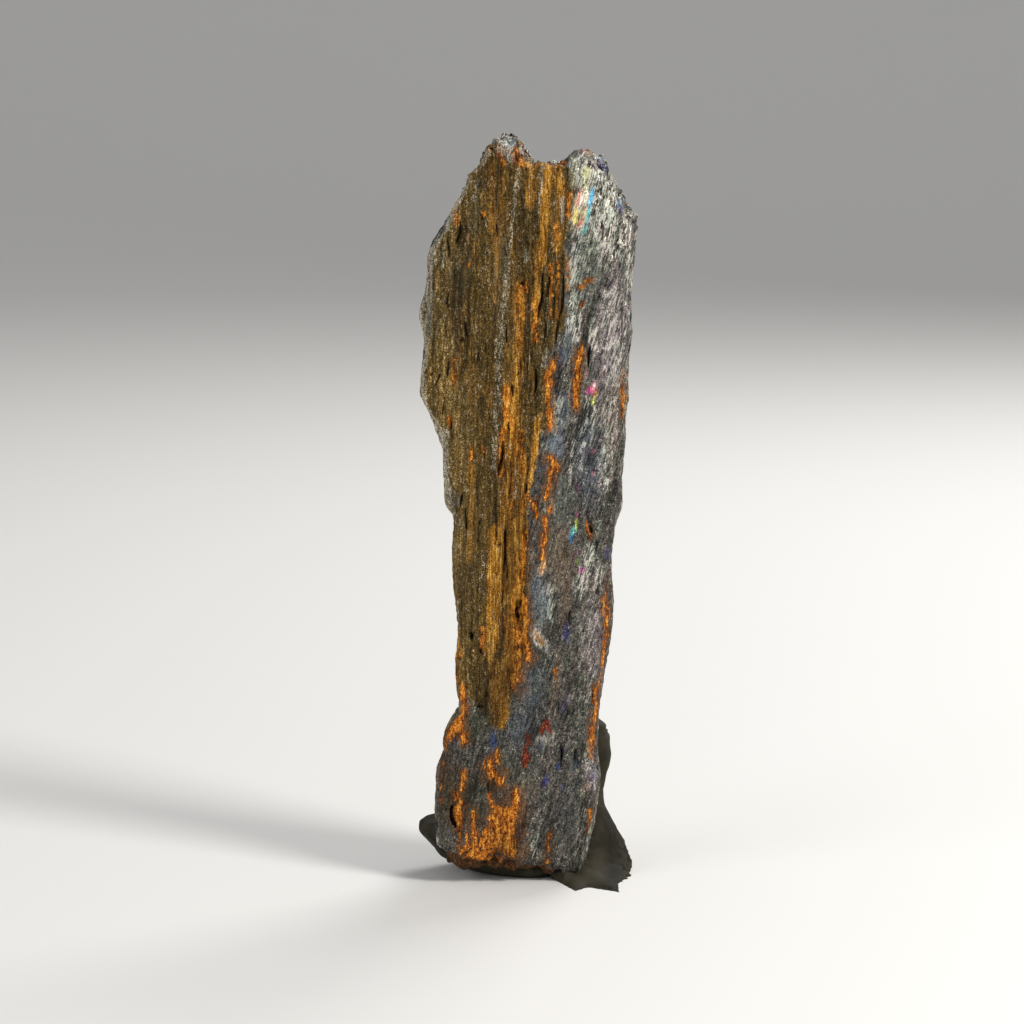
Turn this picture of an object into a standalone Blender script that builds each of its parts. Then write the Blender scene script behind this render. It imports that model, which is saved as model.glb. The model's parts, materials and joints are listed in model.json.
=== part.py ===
# An upright splinter of fibrous hematite, held at its foot by a wad of mounting putty.
# Driving sizes are in millimetres. x runs to the right, y away from the front face, z up.

import math

import bmesh
import bpy
import numpy as np
from mathutils import Vector, noise

MM = 0.001

# Lattice of the stone: cells across the fibres, through the slab and along the fibres
COLUMNS = 28
LAYERS = 5
ROWS = 54

# Cross-section of the stone: a low roof whose ridge parts the two front faces
RIDGE_AHEAD = 6.3
LEFT_FALL = 0.13  # how fast the front recedes to the left of the ridge, mm per mm
RIGHT_FALL = 0.22
BACK_BEHIND = 6.0
BACK_LEFT_FALL = 0.12
BACK_RIGHT_FALL = 0.06
BACK_SPINE = 2.0  # x of the back's highest line
FACE_BEND = 0.004  # how both faces curve away besides, per mm
LEAN_DEG = 3.2  # the slab leans back
LEFT_ROUNDING = 0.7  # of the flanks, front to back
RIGHT_ROUNDING = 0.42
CHIP_DEPTH = 2.3  # chips along the front and back edges of the flanks
CHIP_LENGTH = 7.0
CHIP_CHANGE = 2.2  # how much the chips differ from layer to layer
LEFT_SEED = 3.5
RIGHT_SEED = 17.5
EDGE_HOLD = 5  # the higher, the nearer to the flanks their chips stay
STRIP_SHOWN = 1.0  # how far the lower right flank slopes out behind the front face
STRIP_FROM = 10.0
STRIP_TO = 48.0
STRIP_FADE = 12.0
STRIP_DEPTH = 0.6  # share of the thickness that the slope takes
FOOT_CHAMFER = 0.35  # share of the thickness that the broken lower front edge takes
TOP_LEDGE = 0.25  # share of the thickness that the front plate takes at the broken top
TOP_LEDGE_RISE = 0.12
TOP_CREST_PLACE = 0.5
FLOW_WINDOW = 12.0  # the fibres follow the outlines smoothed over this height, up and down

# Silhouette of the stone: (height, x) up each side
LEFT_EDGE = [
    (3.0, -11.0), (6.5, -13.2), (11.0, -13.8), (16.4, -13.9), (19.4, -13.2), (25.5, -11.9),
    (28.5, -11.1), (34.5, -10.9), (39.1, -10.7), (43.6, -11.3), (51.2, -11.5), (55.2, -10.8),
    (57.3, -12.5), (64.8, -13.0), (67.9, -13.6), (70.9, -15.0), (73.7, -16.5), (80.0, -16.3),
    (83.0, -16.1), (86.1, -16.8), (92.1, -15.5), (95.1, -15.1), (98.0, -13.9), (99.0, -13.1),
]
RIGHT_EDGE = [
    (0.8, 8.1), (4.2, 8.6), (8.8, 9.6), (14.8, 10.5), (19.4, 10.2), (25.5, 10.6), (31.5, 11.6),
    (37.6, 12.5), (42.1, 12.8), (51.2, 13.1), (54.6, 13.5), (56.6, 14.1), (64.8, 14.4),
    (70.9, 14.6), (73.6, 15.2), (78.5, 15.1), (83.0, 15.6), (89.1, 15.7), (95.1, 16.1),
    (101.4, 16.2),
]

# Broken ends of the stone: (x, height) of the front edge, the middle line and the back edge
TOP_FRONT = [
    (-13.1, 98.4), (-11.6, 102.3), (-10.1, 104.3), (-8.7, 107.0), (-7.2, 109.9), (-5.8, 111.9),
    (-4.0, 110.3), (-2.3, 109.0), (0.6, 109.3), (4.4, 109.5), (6.5, 110.4), (8.6, 110.4),
    (10.8, 109.2), (12.2, 106.9), (13.7, 105.0), (15.3, 102.0), (16.2, 100.4),
]
TOP_CREST = [
    (-13.1, 98.8), (-11.6, 102.7), (-10.1, 104.6), (-8.7, 107.3), (-7.2, 110.2), (-6.0, 112.0),
    (-4.2, 114.2), (-2.0, 114.3), (-1.2, 113.3), (0.3, 110.8), (1.1, 109.5), (4.8, 109.8),
    (6.3, 110.8), (7.8, 111.6), (10.8, 110.8), (11.5, 110.2), (12.2, 107.7), (13.7, 105.9),
    (15.3, 102.8), (16.2, 101.3),
]
TOP_BACK = [
    (-13.1, 96.2), (-9.5, 101.8), (-6.0, 107.4), (-3.0, 110.2), (-0.5, 108.6), (1.8, 105.8),
    (5.0, 106.4), (8.5, 108.2), (11.0, 105.0), (16.2, 97.8),
]
BOTTOM_FRONT = [
    (-13.8, 9.4), (-13.2, 6.6), (-12.0, 4.9), (-9.8, 4.0), (-6.3, 3.9), (0.0, 3.3), (3.8, 2.7),
    (5.0, 1.4), (8.1, 0.9),
]
BOTTOM_MIDDLE = [
    (-13.8, 9.0), (-13.2, 6.1), (-12.0, 3.5), (-11.0, 2.4), (-6.8, 1.5), (3.6, 1.0), (8.1, 0.8),
]
BOTTOM_BACK = [(-13.8, 10.0), (-11.0, 5.6), (-4.0, 3.6), (3.0, 2.6), (8.1, 2.2)]

# Line between the limonite skin and the bare steel-grey face: (height, x)
SKIN_EDGE = [
    (0.0, -4.2), (23.2, -4.2), (30.0, -3.6), (43.6, -1.0), (49.7, 0.0), (66.4, 0.4), (75.5, 2.3),
    (84.5, 4.6), (95.1, 5.6), (112.0, 6.4),
]
SKIN_STEP = 0.35  # the bare face stands this much higher
SKIN_STEP_FADE = 1.4
SKIN_END = 22.0  # height of the skin's lower tip
SKIN_END_FADE = 6.0

# Rib of silvery grains up the skin: (height, x)
RIB_LINE = [(60.0, -5.6), (74.0, -4.7), (84.5, -4.0), (95.0, -3.1), (108.0, -1.5)]
RIB_HEIGHT = 0.35
RIB_WIDTH = 0.9
RIB_FROM = 56.0
RIB_FADE = 8.0

# Open cracks and pits of the front: x and height of the middle, half length, half width,
# slope of the crack (mm of x per mm of height), depth
CRACKS = [
    (2.0, 86.8, 4.2, 0.8, 0.02, 1.5),  # deep slit in the ochre band
    (-4.1, 65.8, 4.6, 0.7, 0.09, 1.2),
    (8.9, 79.6, 5.0, 0.7, -0.02, 1.0),  # rust-filled crack in the steel face
    (7.6, 76.6, 5.2, 0.8, 0.03, 0.8),
    (3.9, 75.0, 5.0, 0.7, 0.06, 0.7),
    (3.4, 61.0, 4.4, 0.7, 0.11, 0.9),
    (-1.7, 40.6, 4.6, 0.9, 0.02, 1.1),  # pits among the orange streaks
    (-11.0, 9.8, 3.2, 0.8, -0.04, 1.5),  # pit near the lower left corner
    (-5.8, 14.4, 2.6, 0.7, 0.0, 1.0),
    (3.0, 24.3, 1.8, 0.9, -0.05, 0.7),
    (0.1, 20.2, 2.4, 0.9, 0.10, 0.7),
    (-10.3, 79.2, 5.6, 0.7, 0.10, 0.7),
    (-10.3, 98.0, 5.0, 0.7, 0.06, 0.8),
    (-8.8, 38.5, 1.0, 0.8, 0.0, 0.7),
]

# Swellings of the front: x, height, half width, half length, rise
SWELLINGS = [
    (9.2, 103.0, 3.4, 9.0, 0.9),  # bright shoulder at the upper right
    (1.9, 37.4, 1.2, 2.6, 0.5),  # small lens of tan mineral
    (-3.0, 10.5, 2.6, 5.0, 0.5),
    (8.2, 13.0, 1.8, 7.0, 0.6),
    (-12.2, 82.0, 2.4, 9.0, 0.4),
    (-11.5, 20.0, 2.2, 6.0, 0.6),
    (11.5, 60.0, 2.0, 12.0, 0.5),
]

# Roughness shared by every side of the stone
FIBRE_PITCH = 2.6
FIBRE_LENGTH = 26.0
FIBRE_RISE = 0.30
PLATE_PITCH = 7.5
PLATE_LENGTH = 60.0
PLATE_SLANT = 0.05
PLATE_LEVELS = 2.4  # levels that the plates lie on, up and down
LEDGE_SHARE = 0.5  # how much of a plate its sloping ledge takes
PLATE_RISE = 0.42
BACK_PLATE_RISE = 0.9
FLANK_SHARE = 0.45  # how much of the roughness the narrow flanks take
LAYER_PITCH = 1.9  # layers seen edge-on in the flanks
LAYER_RISE = 0.55
SPLINTER_PITCH = 1.6  # splinter ends on the broken top and foot
SPLINTER_RISE = 0.9

# Wad of putty: sections by height, each with its centre and its reach every 45 degrees,
# counted from the right, over the back, the left and the front
PUTTY_SECTIONS = [
    (0.0, 4.0, 6.0, (11.5, 14.4, 15.4, 13.4, 12.8, 9.4, 7.2, 13.4)),
    (0.8, 4.0, 6.0, (11.5, 13.8, 15.2, 13.8, 15.4, 11.0, 7.2, 12.0)),
    (2.2, 4.0, 6.0, (11.2, 12.2, 14.2, 13.2, 18.2, 11.0, 6.4, 9.2)),
    (4.1, 4.0, 6.0, (10.6, 10.8, 12.8, 12.6, 19.2, 9.4, 6.0, 8.2)),
    (6.5, 4.0, 6.0, (9.4, 9.8, 11.4, 11.6, 20.5, 8.8, 6.0, 7.8)),
    (8.6, 4.0, 6.0, (8.4, 9.0, 10.2, 10.4, 20.4, 8.2, 5.8, 7.4)),
    (9.8, 4.0, 6.0, (7.9, 8.2, 9.0, 9.2, 15.8, 7.6, 5.6, 7.2)),
    (12.2, 4.5, 6.0, (7.2, 7.6, 8.0, 8.4, 9.8, 6.6, 5.4, 6.8)),
    (15.0, 5.0, 6.0, (6.5, 7.0, 7.0, 6.8, 7.8, 5.8, 5.0, 6.0)),
    (18.0, 6.5, 6.2, (5.9, 5.8, 5.6, 5.2, 5.4, 4.6, 4.4, 5.2)),
    (20.6, 8.0, 6.4, (4.6, 4.8, 4.6, 4.2, 4.0, 3.8, 3.8, 4.4)),
    (22.4, 9.0, 6.4, (2.8, 3.2, 3.4, 3.0, 2.8, 2.8, 2.8, 2.8)),
    (23.6, 9.4, 6.4, (1.0, 1.3, 1.5, 1.3, 1.1, 1.1, 1.1, 1.0)),
]
PUTTY_SIDES = 36

# Thin tongues of putty squeezed out over the ground: angle, half angle, reach, height
PUTTY_TONGUES = [
    (-61.0, 9.0, 8.0, 1.5),
    (-80.0, 8.0, 8.0, 1.5),
]

# Dents that fingers left in the putty: angle, height, half angle, half height, depth
PUTTY_DENTS = [
    (78.0, 8.5, 26.0, 5.0, 2.2),
    (140.0, 4.5, 20.0, 4.5, 1.6),
    (22.0, 12.5, 22.0, 4.0, 0.9),
    (112.0, 17.0, 30.0, 3.0, 0.8),
]
PUTTY_LUMPS = 0.35
PUTTY_LUMP_PITCH = 6.0
PRESS_GAP = 0.3  # between the putty and the stone


def remove_objects():
    for old in list(bpy.data.objects):
        bpy.data.objects.remove(old, do_unlink=True)


def along(points, value):
    # Value of a hand-drawn outline at one place
    places, values = zip(*points)
    return float(np.interp(value, places, values))


def flow(points, value):
    # The same outline without its chips, which the fibres inside follow
    offsets = np.linspace(-FLOW_WINDOW, FLOW_WINDOW, 5)
    return sum(along(points, value + offset) for offset in offsets) / len(offsets)


def smooth_step(value):
    limited = min(max(value, 0.0), 1.0)
    return limited * limited * (3.0 - 2.0 * limited)


def lattice_box(columns, layers, rows):
    # A closed box from 0 to 1 whose faces carry the given number of cells
    mesh = bmesh.new()
    bmesh.ops.create_cube(mesh, size=1.0)
    bmesh.ops.translate(mesh, verts=mesh.verts, vec=Vector((0.5, 0.5, 0.5)))
    for axis, cells in enumerate((columns, layers, rows)):
        normal = Vector((axis == 0, axis == 1, axis == 2))
        for cut in range(1, cells):
            geometry = mesh.verts[:] + mesh.edges[:] + mesh.faces[:]
            bmesh.ops.bisect_plane(
                mesh, geom=geometry, dist=1e-6, plane_co=normal * (cut / cells), plane_no=normal
            )
    return mesh


def front_depth(x, z):
    aside = x - along(SKIN_EDGE, z)
    fall = RIGHT_FALL if aside > 0.0 else LEFT_FALL
    return fall * abs(aside) + FACE_BEND * aside * aside - RIDGE_AHEAD


def back_depth(x):
    aside = x - BACK_SPINE
    fall = BACK_RIGHT_FALL if aside > 0.0 else BACK_LEFT_FALL
    return BACK_BEHIND - fall * abs(aside) - FACE_BEND * aside * aside


def chip_inset(depth, z, seed):
    # The middle layers keep the silhouette, and the outer ones are broken back from it
    broken = noise.noise(Vector((z / CHIP_LENGTH, CHIP_CHANGE * depth, seed)))
    return CHIP_DEPTH * max(broken, 0.0) * abs(2.0 * depth - 1.0)


def flank_inset(depth, z):
    # How far the flanks draw in from the silhouette, left and right
    away = (2.0 * depth - 1.0) ** 2
    shown = smooth_step((z - STRIP_FROM) / STRIP_FADE) * smooth_step((STRIP_TO - z) / STRIP_FADE)
    strip = STRIP_SHOWN * shown * (1.0 - smooth_step(depth / STRIP_DEPTH))
    left = LEFT_ROUNDING * away + chip_inset(depth, z, LEFT_SEED)
    right = RIGHT_ROUNDING * away + strip + chip_inset(depth, z, RIGHT_SEED)
    return left, right


def stone_point(across, depth, height):
    # One lattice point, each share from 0 to 1, carried to its place in the stone
    x_low = LEFT_EDGE[2][1] + across * (RIGHT_EDGE[0][1] - LEFT_EDGE[2][1])
    x_high = LEFT_EDGE[-1][1] + across * (RIGHT_EDGE[-1][1] - LEFT_EDGE[-1][1])
    lows = [along(line, x_low) for line in (BOTTOM_FRONT, BOTTOM_MIDDLE, BOTTOM_BACK)]
    highs = [along(line, x_high) for line in (TOP_FRONT, TOP_CREST, TOP_BACK)]
    low = float(np.interp(depth, (0.0, FOOT_CHAMFER, 1.0), lows))
    front, crest, back = highs
    ledge = front + TOP_LEDGE_RISE * (crest - front)
    places = (0.0, TOP_LEDGE, TOP_CREST_PLACE, 1.0)
    high = float(np.interp(depth, places, (front, ledge, crest, back)))
    z = low + height * (high - low)
    inset_left, inset_right = flank_inset(depth, z)
    left = flow(LEFT_EDGE, z)
    right = flow(RIGHT_EDGE, z)
    x = left + across * (right - left)
    x += (along(LEFT_EDGE, z) + inset_left - left) * (1.0 - across) ** EDGE_HOLD
    x += (along(RIGHT_EDGE, z) - inset_right - right) * across**EDGE_HOLD
    y = front_depth(x, z) * (1.0 - depth) + back_depth(x) * depth
    return Vector((x, y, z))


def fibres(point):
    # Long shallow waves that run up the stone
    place = Vector((point.x / FIBRE_PITCH, point.y / FIBRE_PITCH, point.z / FIBRE_LENGTH))
    return noise.noise(place) + 0.5 * noise.noise(2.1 * place + Vector((0.0, 0.0, 9.0)))


def plates(point):
    # Broad flat plates parted by low ledges
    slanted = point.x + PLATE_SLANT * point.z
    place = Vector((slanted / PLATE_PITCH, point.y / PLATE_PITCH + 4.0, point.z / PLATE_LENGTH))
    level = PLATE_LEVELS * noise.noise(place) + 0.5
    step = math.floor(level)
    return step + smooth_step((level - step - 0.5) / LEDGE_SHARE + 0.5) - 0.5


def layers(point):
    # Edges of the layers that the flanks are broken across
    place = Vector((0.07 * point.x, point.y / LAYER_PITCH, point.z / FIBRE_LENGTH + 2.0))
    return noise.noise(place)


def splinters(point):
    place = Vector((point.x / SPLINTER_PITCH, point.y / SPLINTER_PITCH, 0.03 * point.z + 5.0))
    return noise.noise(place)


def crack_depth(x, z):
    total = 0.0
    for middle_x, middle_z, half_length, half_width, slope, depth in CRACKS:
        rise = (z - middle_z) / half_length
        if abs(rise) < 1.0:
            off = (x - middle_x - slope * (z - middle_z)) / half_width
            total = max(total, depth * (1.0 - rise * rise) * math.exp(-off * off))
    return total


def front_rise(x, z):
    # Height of the front's own forms over its two plain faces
    past = x - along(SKIN_EDGE, z)
    over_tip = smooth_step((z - SKIN_END) / SKIN_END_FADE)
    rise = SKIN_STEP * over_tip * (smooth_step(past / SKIN_STEP_FADE + 0.5) - 0.5)
    rib = (x - along(RIB_LINE, z)) / RIB_WIDTH
    rise += RIB_HEIGHT * math.exp(-rib * rib) * smooth_step((z - RIB_FROM) / RIB_FADE)
    for swell_x, swell_z, half_width, half_length, height in SWELLINGS:
        reach = ((x - swell_x) / half_width) ** 2 + ((z - swell_z) / half_length) ** 2
        rise += height * math.exp(-reach)
    return rise - crack_depth(x, z)


def stone_rise(point, normal):
    facing = normal.y
    share = FLANK_SHARE + (1.0 - FLANK_SHARE) * abs(facing)
    plate_rise = PLATE_RISE if facing < 0.0 else BACK_PLATE_RISE
    rise = share * (FIBRE_RISE * fibres(point) + plate_rise * plates(point) * abs(facing))
    rise += LAYER_RISE * layers(point) * abs(normal.x)
    rise += SPLINTER_RISE * splinters(point) * abs(normal.z)
    if facing < -0.5:
        rise += front_rise(point.x, point.z) * smooth_step((-facing - 0.5) / 0.3)
    return rise


def lean_back(mesh):
    slope = math.tan(math.radians(LEAN_DEG))
    for vert in mesh.verts:
        vert.co.y += slope * vert.co.z


def make_stone():
    mesh = lattice_box(COLUMNS, LAYERS, ROWS)
    for vert in mesh.verts:
        vert.co = stone_point(*vert.co)
    mesh.normal_update()
    moves = [stone_rise(vert.co, vert.normal) for vert in mesh.verts]
    for vert, move in zip(mesh.verts, moves):
        vert.co += vert.normal * move
    lean_back(mesh)
    return mesh


def putty_reach(reaches, angle):
    # Smooth closed curve through the eight reaches
    turn = (angle / (math.pi / 4.0)) % 8.0
    first = int(turn)
    part = turn - first
    before, start, end, after = (reaches[(first + step) % 8] for step in (-1, 0, 1, 2))
    bend = (3.0 * (start - end) + after - before) * part
    curve = (2.0 * before - 5.0 * start + 4.0 * end - after + bend) * part
    return start + 0.5 * part * (end - before + curve)


def tongue_reach(angle, height):
    reach = 0.0
    for middle, half_angle, length, thickness in PUTTY_TONGUES:
        off = (math.degrees(angle) - middle + 180.0) % 360.0 - 180.0
        fade = 1.0 - smooth_step(height / thickness)
        reach += length * fade * math.exp(-((off / half_angle) ** 2))
    return reach


def dent_depth(angle, height):
    depth = 0.0
    for middle, level, half_angle, half_height, most in PUTTY_DENTS:
        off = (math.degrees(angle) - middle + 180.0) % 360.0 - 180.0
        away = (off / half_angle) ** 2 + ((height - level) / half_height) ** 2
        depth += most * math.exp(-away)
    return depth


def putty_ring(mesh, height, centre_x, centre_y, reaches):
    ring = []
    for side in range(PUTTY_SIDES):
        angle = math.tau * side / PUTTY_SIDES
        reach = putty_reach(reaches, angle) + tongue_reach(angle, height)
        reach -= dent_depth(angle, height)
        x = centre_x + reach * math.cos(angle)
        y = centre_y + reach * math.sin(angle)
        lump = PUTTY_LUMPS * noise.noise(Vector((x, y, 2.0 * height)) / PUTTY_LUMP_PITCH)
        x += lump * math.cos(angle)
        y += lump * math.sin(angle)
        ring.append(mesh.verts.new((x, y, height)))
    for start, end in zip(ring, ring[1:] + ring[:1]):
        mesh.edges.new((start, end))
    return ring


def make_putty():
    mesh = bmesh.new()
    rings = [putty_ring(mesh, *section) for section in PUTTY_SECTIONS]
    for lower, upper in zip(rings, rings[1:]):
        for side in range(PUTTY_SIDES):
            following = (side + 1) % PUTTY_SIDES
            mesh.faces.new((lower[side], lower[following], upper[following], upper[side]))
    mesh.faces.new(rings[0][::-1])
    mesh.faces.new(rings[-1])
    bmesh.ops.recalc_face_normals(mesh, faces=mesh.faces)
    return mesh


def grown_copy(mesh, gap):
    copy = mesh.copy()
    copy.normal_update()
    moves = [vert.normal * (gap * vert.calc_shell_factor()) for vert in copy.verts]
    for vert, move in zip(copy.verts, moves):
        vert.co += move
    return copy


def to_object(name, mesh):
    # Millimetres become metres here
    bmesh.ops.scale(mesh, verts=mesh.verts, vec=Vector((MM, MM, MM)))
    data = bpy.data.meshes.new(name)
    mesh.to_mesh(data)
    mesh.free()
    made = bpy.data.objects.new(name, data)
    bpy.context.scene.collection.objects.link(made)
    return made


def make_material(name, colour, roughness, metallic):
    material = bpy.data.materials.new(name)
    material.use_nodes = True
    shader = material.node_tree.nodes["Principled BSDF"]
    shader.inputs["Base Color"].default_value = (*colour, 1.0)
    shader.inputs["Roughness"].default_value = roughness
    shader.inputs["Metallic"].default_value = metallic
    return material


def press_into(putty, seat):
    seat.hide_render = True
    seat.display_type = "WIRE"
    cut = putty.modifiers.new("stone imprint", "BOOLEAN")
    cut.operation = "DIFFERENCE"
    cut.solver = "EXACT"
    cut.object = seat


def centre_on_origin(stone_mesh, putty_mesh):
    # The origin is below the middle of the whole specimen, on the ground
    points = [vert.co for mesh in (stone_mesh, putty_mesh) for vert in mesh.verts]
    middle_x = (min(p.x for p in points) + max(p.x for p in points)) / 2.0
    middle_y = (min(p.y for p in points) + max(p.y for p in points)) / 2.0
    for mesh in (stone_mesh, putty_mesh):
        bmesh.ops.translate(mesh, verts=mesh.verts, vec=Vector((-middle_x, -middle_y, 0.0)))


remove_objects()
stone_mesh = make_stone()
putty_mesh = make_putty()
centre_on_origin(stone_mesh, putty_mesh)
seat_mesh = grown_copy(stone_mesh, PRESS_GAP)

hematite = to_object("hematite", stone_mesh)
hematite.data.materials.append(make_material("iron mineral", (0.13, 0.11, 0.09), 0.55, 0.35))
mounting_putty = to_object("mounting_putty", putty_mesh)
mounting_putty.data.materials.append(make_material("putty", (0.09, 0.09, 0.075), 0.75, 0.0))
seat = to_object("seat_cutter", seat_mesh)
press_into(mounting_putty, seat)
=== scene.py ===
import json
import math

import bpy
import numpy as np
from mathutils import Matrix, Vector, bvhtree, noise

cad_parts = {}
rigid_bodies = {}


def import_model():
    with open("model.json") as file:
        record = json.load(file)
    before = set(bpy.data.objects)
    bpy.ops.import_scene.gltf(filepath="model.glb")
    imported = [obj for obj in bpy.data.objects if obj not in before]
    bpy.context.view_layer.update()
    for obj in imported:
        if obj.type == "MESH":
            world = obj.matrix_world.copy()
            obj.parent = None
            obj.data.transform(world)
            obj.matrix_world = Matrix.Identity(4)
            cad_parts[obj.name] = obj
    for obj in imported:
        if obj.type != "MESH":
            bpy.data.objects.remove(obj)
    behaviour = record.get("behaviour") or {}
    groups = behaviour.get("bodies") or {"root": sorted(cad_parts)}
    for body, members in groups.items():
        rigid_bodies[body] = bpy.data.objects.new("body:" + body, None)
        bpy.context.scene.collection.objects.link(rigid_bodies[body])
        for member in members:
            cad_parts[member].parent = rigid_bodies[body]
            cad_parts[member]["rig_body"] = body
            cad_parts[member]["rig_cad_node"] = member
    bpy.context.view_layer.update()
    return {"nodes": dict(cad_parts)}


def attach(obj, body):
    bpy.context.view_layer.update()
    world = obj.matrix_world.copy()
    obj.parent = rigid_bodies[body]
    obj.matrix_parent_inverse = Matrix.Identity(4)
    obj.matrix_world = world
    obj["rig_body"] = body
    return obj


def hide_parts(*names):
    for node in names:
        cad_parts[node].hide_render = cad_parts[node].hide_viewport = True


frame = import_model()
print("stage: frame loaded")

mm = 0.001


# Mesh helpers

def selectOnly(thing):
    if bpy.context.object and bpy.context.object.mode != "OBJECT":
        bpy.ops.object.mode_set(mode="OBJECT")
    bpy.ops.object.select_all(action="DESELECT")
    thing.select_set(True)
    bpy.context.view_layer.objects.active = thing


def applyModifier(thing, kind, **settings):
    selectOnly(thing)
    modifier = thing.modifiers.new(kind.lower(), kind)
    for name, value in settings.items():
        setattr(modifier, name, value)
    bpy.ops.object.modifier_apply(modifier=modifier.name)


def scalePiece(thing, factors):
    selectOnly(thing)
    thing.scale = factors
    bpy.ops.object.transform_apply(location=False, rotation=False, scale=True)


def copyOfNode(nodeName, pieceName):
    # A merged copy of a solid, in millimetres
    selectOnly(frame["nodes"][nodeName])
    bpy.ops.object.duplicate()
    piece = bpy.context.object
    piece.parent = None
    piece.name = pieceName
    piece.data.name = pieceName
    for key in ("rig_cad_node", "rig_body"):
        if key in piece:
            del piece[key]
    piece.data.materials.clear()
    scalePiece(piece, (1 / mm, 1 / mm, 1 / mm))
    bpy.ops.object.mode_set(mode="EDIT")
    bpy.ops.mesh.select_all(action="SELECT")
    bpy.ops.mesh.remove_doubles(threshold=0.001)
    bpy.ops.mesh.normals_make_consistent(inside=False)
    bpy.ops.object.mode_set(mode="OBJECT")
    return piece


def pointsOf(piece):
    values = np.empty(len(piece.data.vertices) * 3, np.float32)
    piece.data.vertices.foreach_get("co", values)
    return values.reshape(-1, 3).astype(float)


def normalsOf(piece):
    values = np.empty(len(piece.data.vertices) * 3, np.float32)
    piece.data.vertices.foreach_get("normal", values)
    return values.reshape(-1, 3).astype(float)


def movePoints(piece, points):
    piece.data.vertices.foreach_set("co", points.astype(np.float32).ravel())
    piece.data.update()


def writeField(piece, name, values):
    made = piece.data.attributes.new(name, "FLOAT", "POINT")
    made.data.foreach_set("value", values.astype(np.float32))


def writeColours(piece, name, colours):
    made = piece.data.attributes.new(name, "FLOAT_COLOR", "POINT")
    full = np.ones((len(colours), 4), np.float32)
    full[:, :3] = colours
    made.data.foreach_set("color", full.ravel())


def reportTriangles(name, piece):
    triangles = sum(len(face.vertices) - 2 for face in piece.data.polygons)
    print(f"stage: {name} has {triangles} triangles")


def finishPiece(piece, body, nodeName, material):
    scalePiece(piece, (mm, mm, mm))
    piece.data.materials.append(material)
    bpy.ops.object.shade_smooth()
    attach(piece, body)
    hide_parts(nodeName)


# Fields over a piece's points

def smoothStep(low, high, values):
    # 0 at low, 1 at high, smooth between; it falls where high is the lower of the two
    share = np.clip((values - low) / (high - low), 0.0, 1.0)
    return share * share * (3.0 - 2.0 * share)


def noiseAt(points, pitch, seed=0.0):
    # Smooth noise from -1 to 1, with one pitch or a pitch along each axis
    places = (points / np.array(pitch) + seed).tolist()
    return np.array([noise.noise(place) for place in places])


def readStrokes(drawn):
    # Each drawn row as its strength, its half width and its points
    for strength, halfWidth, *places in drawn:
        yield strength, halfWidth, list(zip(places[::2], places[1::2]))


def lineField(x, z, line, halfWidth):
    # 1 on a drawn line, falling to 0 at its half width and below 0 outside
    best = np.full(len(x), np.inf)
    for (startX, startZ), (endX, endZ) in zip(line, line[1:]):
        runX, runZ = endX - startX, endZ - startZ
        length = max(runX * runX + runZ * runZ, 1e-9)
        share = np.clip(((x - startX) * runX + (z - startZ) * runZ) / length, 0.0, 1.0)
        best = np.minimum(best, np.hypot(x - startX - share * runX, z - startZ - share * runZ))
    return 1.0 - best / halfWidth


def strokes(x, z, drawn, spread=1.0):
    # The strongest of several drawn strokes
    total = np.zeros(len(x))
    for strength, halfWidth, line in readStrokes(drawn):
        inside = np.clip(lineField(x, z, line, halfWidth * spread), 0.0, 1.0)
        total = np.maximum(total, strength * inside * (2.0 - inside))
    return total


def slits(x, z, drawn):
    # Drawn strokes that run out to a point at both ends
    total = np.zeros(len(x))
    for strength, halfWidth, line in readStrokes(drawn):
        heights = [point[1] for point in line]
        middle = (max(heights) + min(heights)) / 2.0
        reach = (max(heights) - min(heights)) / 2.0 + halfWidth
        taper = np.sqrt(np.clip(1.0 - ((z - middle) / reach) ** 2, 0.0, 1.0))
        inside = 1.0 - (1.0 - lineField(x, z, line, halfWidth)) / np.maximum(taper, 0.05)
        total = np.maximum(total, strength * np.clip(inside, 0.0, 1.0) * (taper > 0.0))
    return total


def terraces(values, sharpness=0.25):
    # Broad levels with short steps between them
    floor = np.floor(values)
    return floor + smoothStep(0.5 - sharpness / 2.0, 0.5 + sharpness / 2.0, values - floor)


def lineX(line, z):
    # x of a drawn line of (height, x) at each height
    heights, places = zip(*line)
    return np.interp(z, heights, places)


# Shader helpers

class Wire:
    # One socket, so that shader maths reads as Python

    def __init__(self, graph, socket):
        self.graph = graph
        self.socket = socket

    def maths(self, operation, *others):
        values = dict(enumerate((self, *others)))
        return self.graph.node("ShaderNodeMath", {"operation": operation}, values)["Value"]

    def __add__(self, other):
        return self.maths("ADD", other)

    def __mul__(self, other):
        return self.maths("MULTIPLY", other)

    def __sub__(self, other):
        return self.maths("SUBTRACT", other)

    def __rsub__(self, other):
        values = {0: other, 1: self}
        return self.graph.node("ShaderNodeMath", {"operation": "SUBTRACT"}, values)["Value"]

    __radd__ = __add__
    __rmul__ = __mul__

    def clamp(self):
        return self.graph.node("ShaderNodeClamp", {}, {"Value": self})["Result"]

    def step(self, low, high):
        # 0 below low, 1 above high, smooth between
        settings = {"interpolation_type": "SMOOTHSTEP"}
        values = {"Value": self, "From Min": low, "From Max": high}
        return self.graph.node("ShaderNodeMapRange", settings, values)["Result"]


class Outputs:
    def __init__(self, graph, node):
        self.graph = graph
        self.node = node

    def __getitem__(self, name):
        return Wire(self.graph, self.node.outputs[name])


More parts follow.
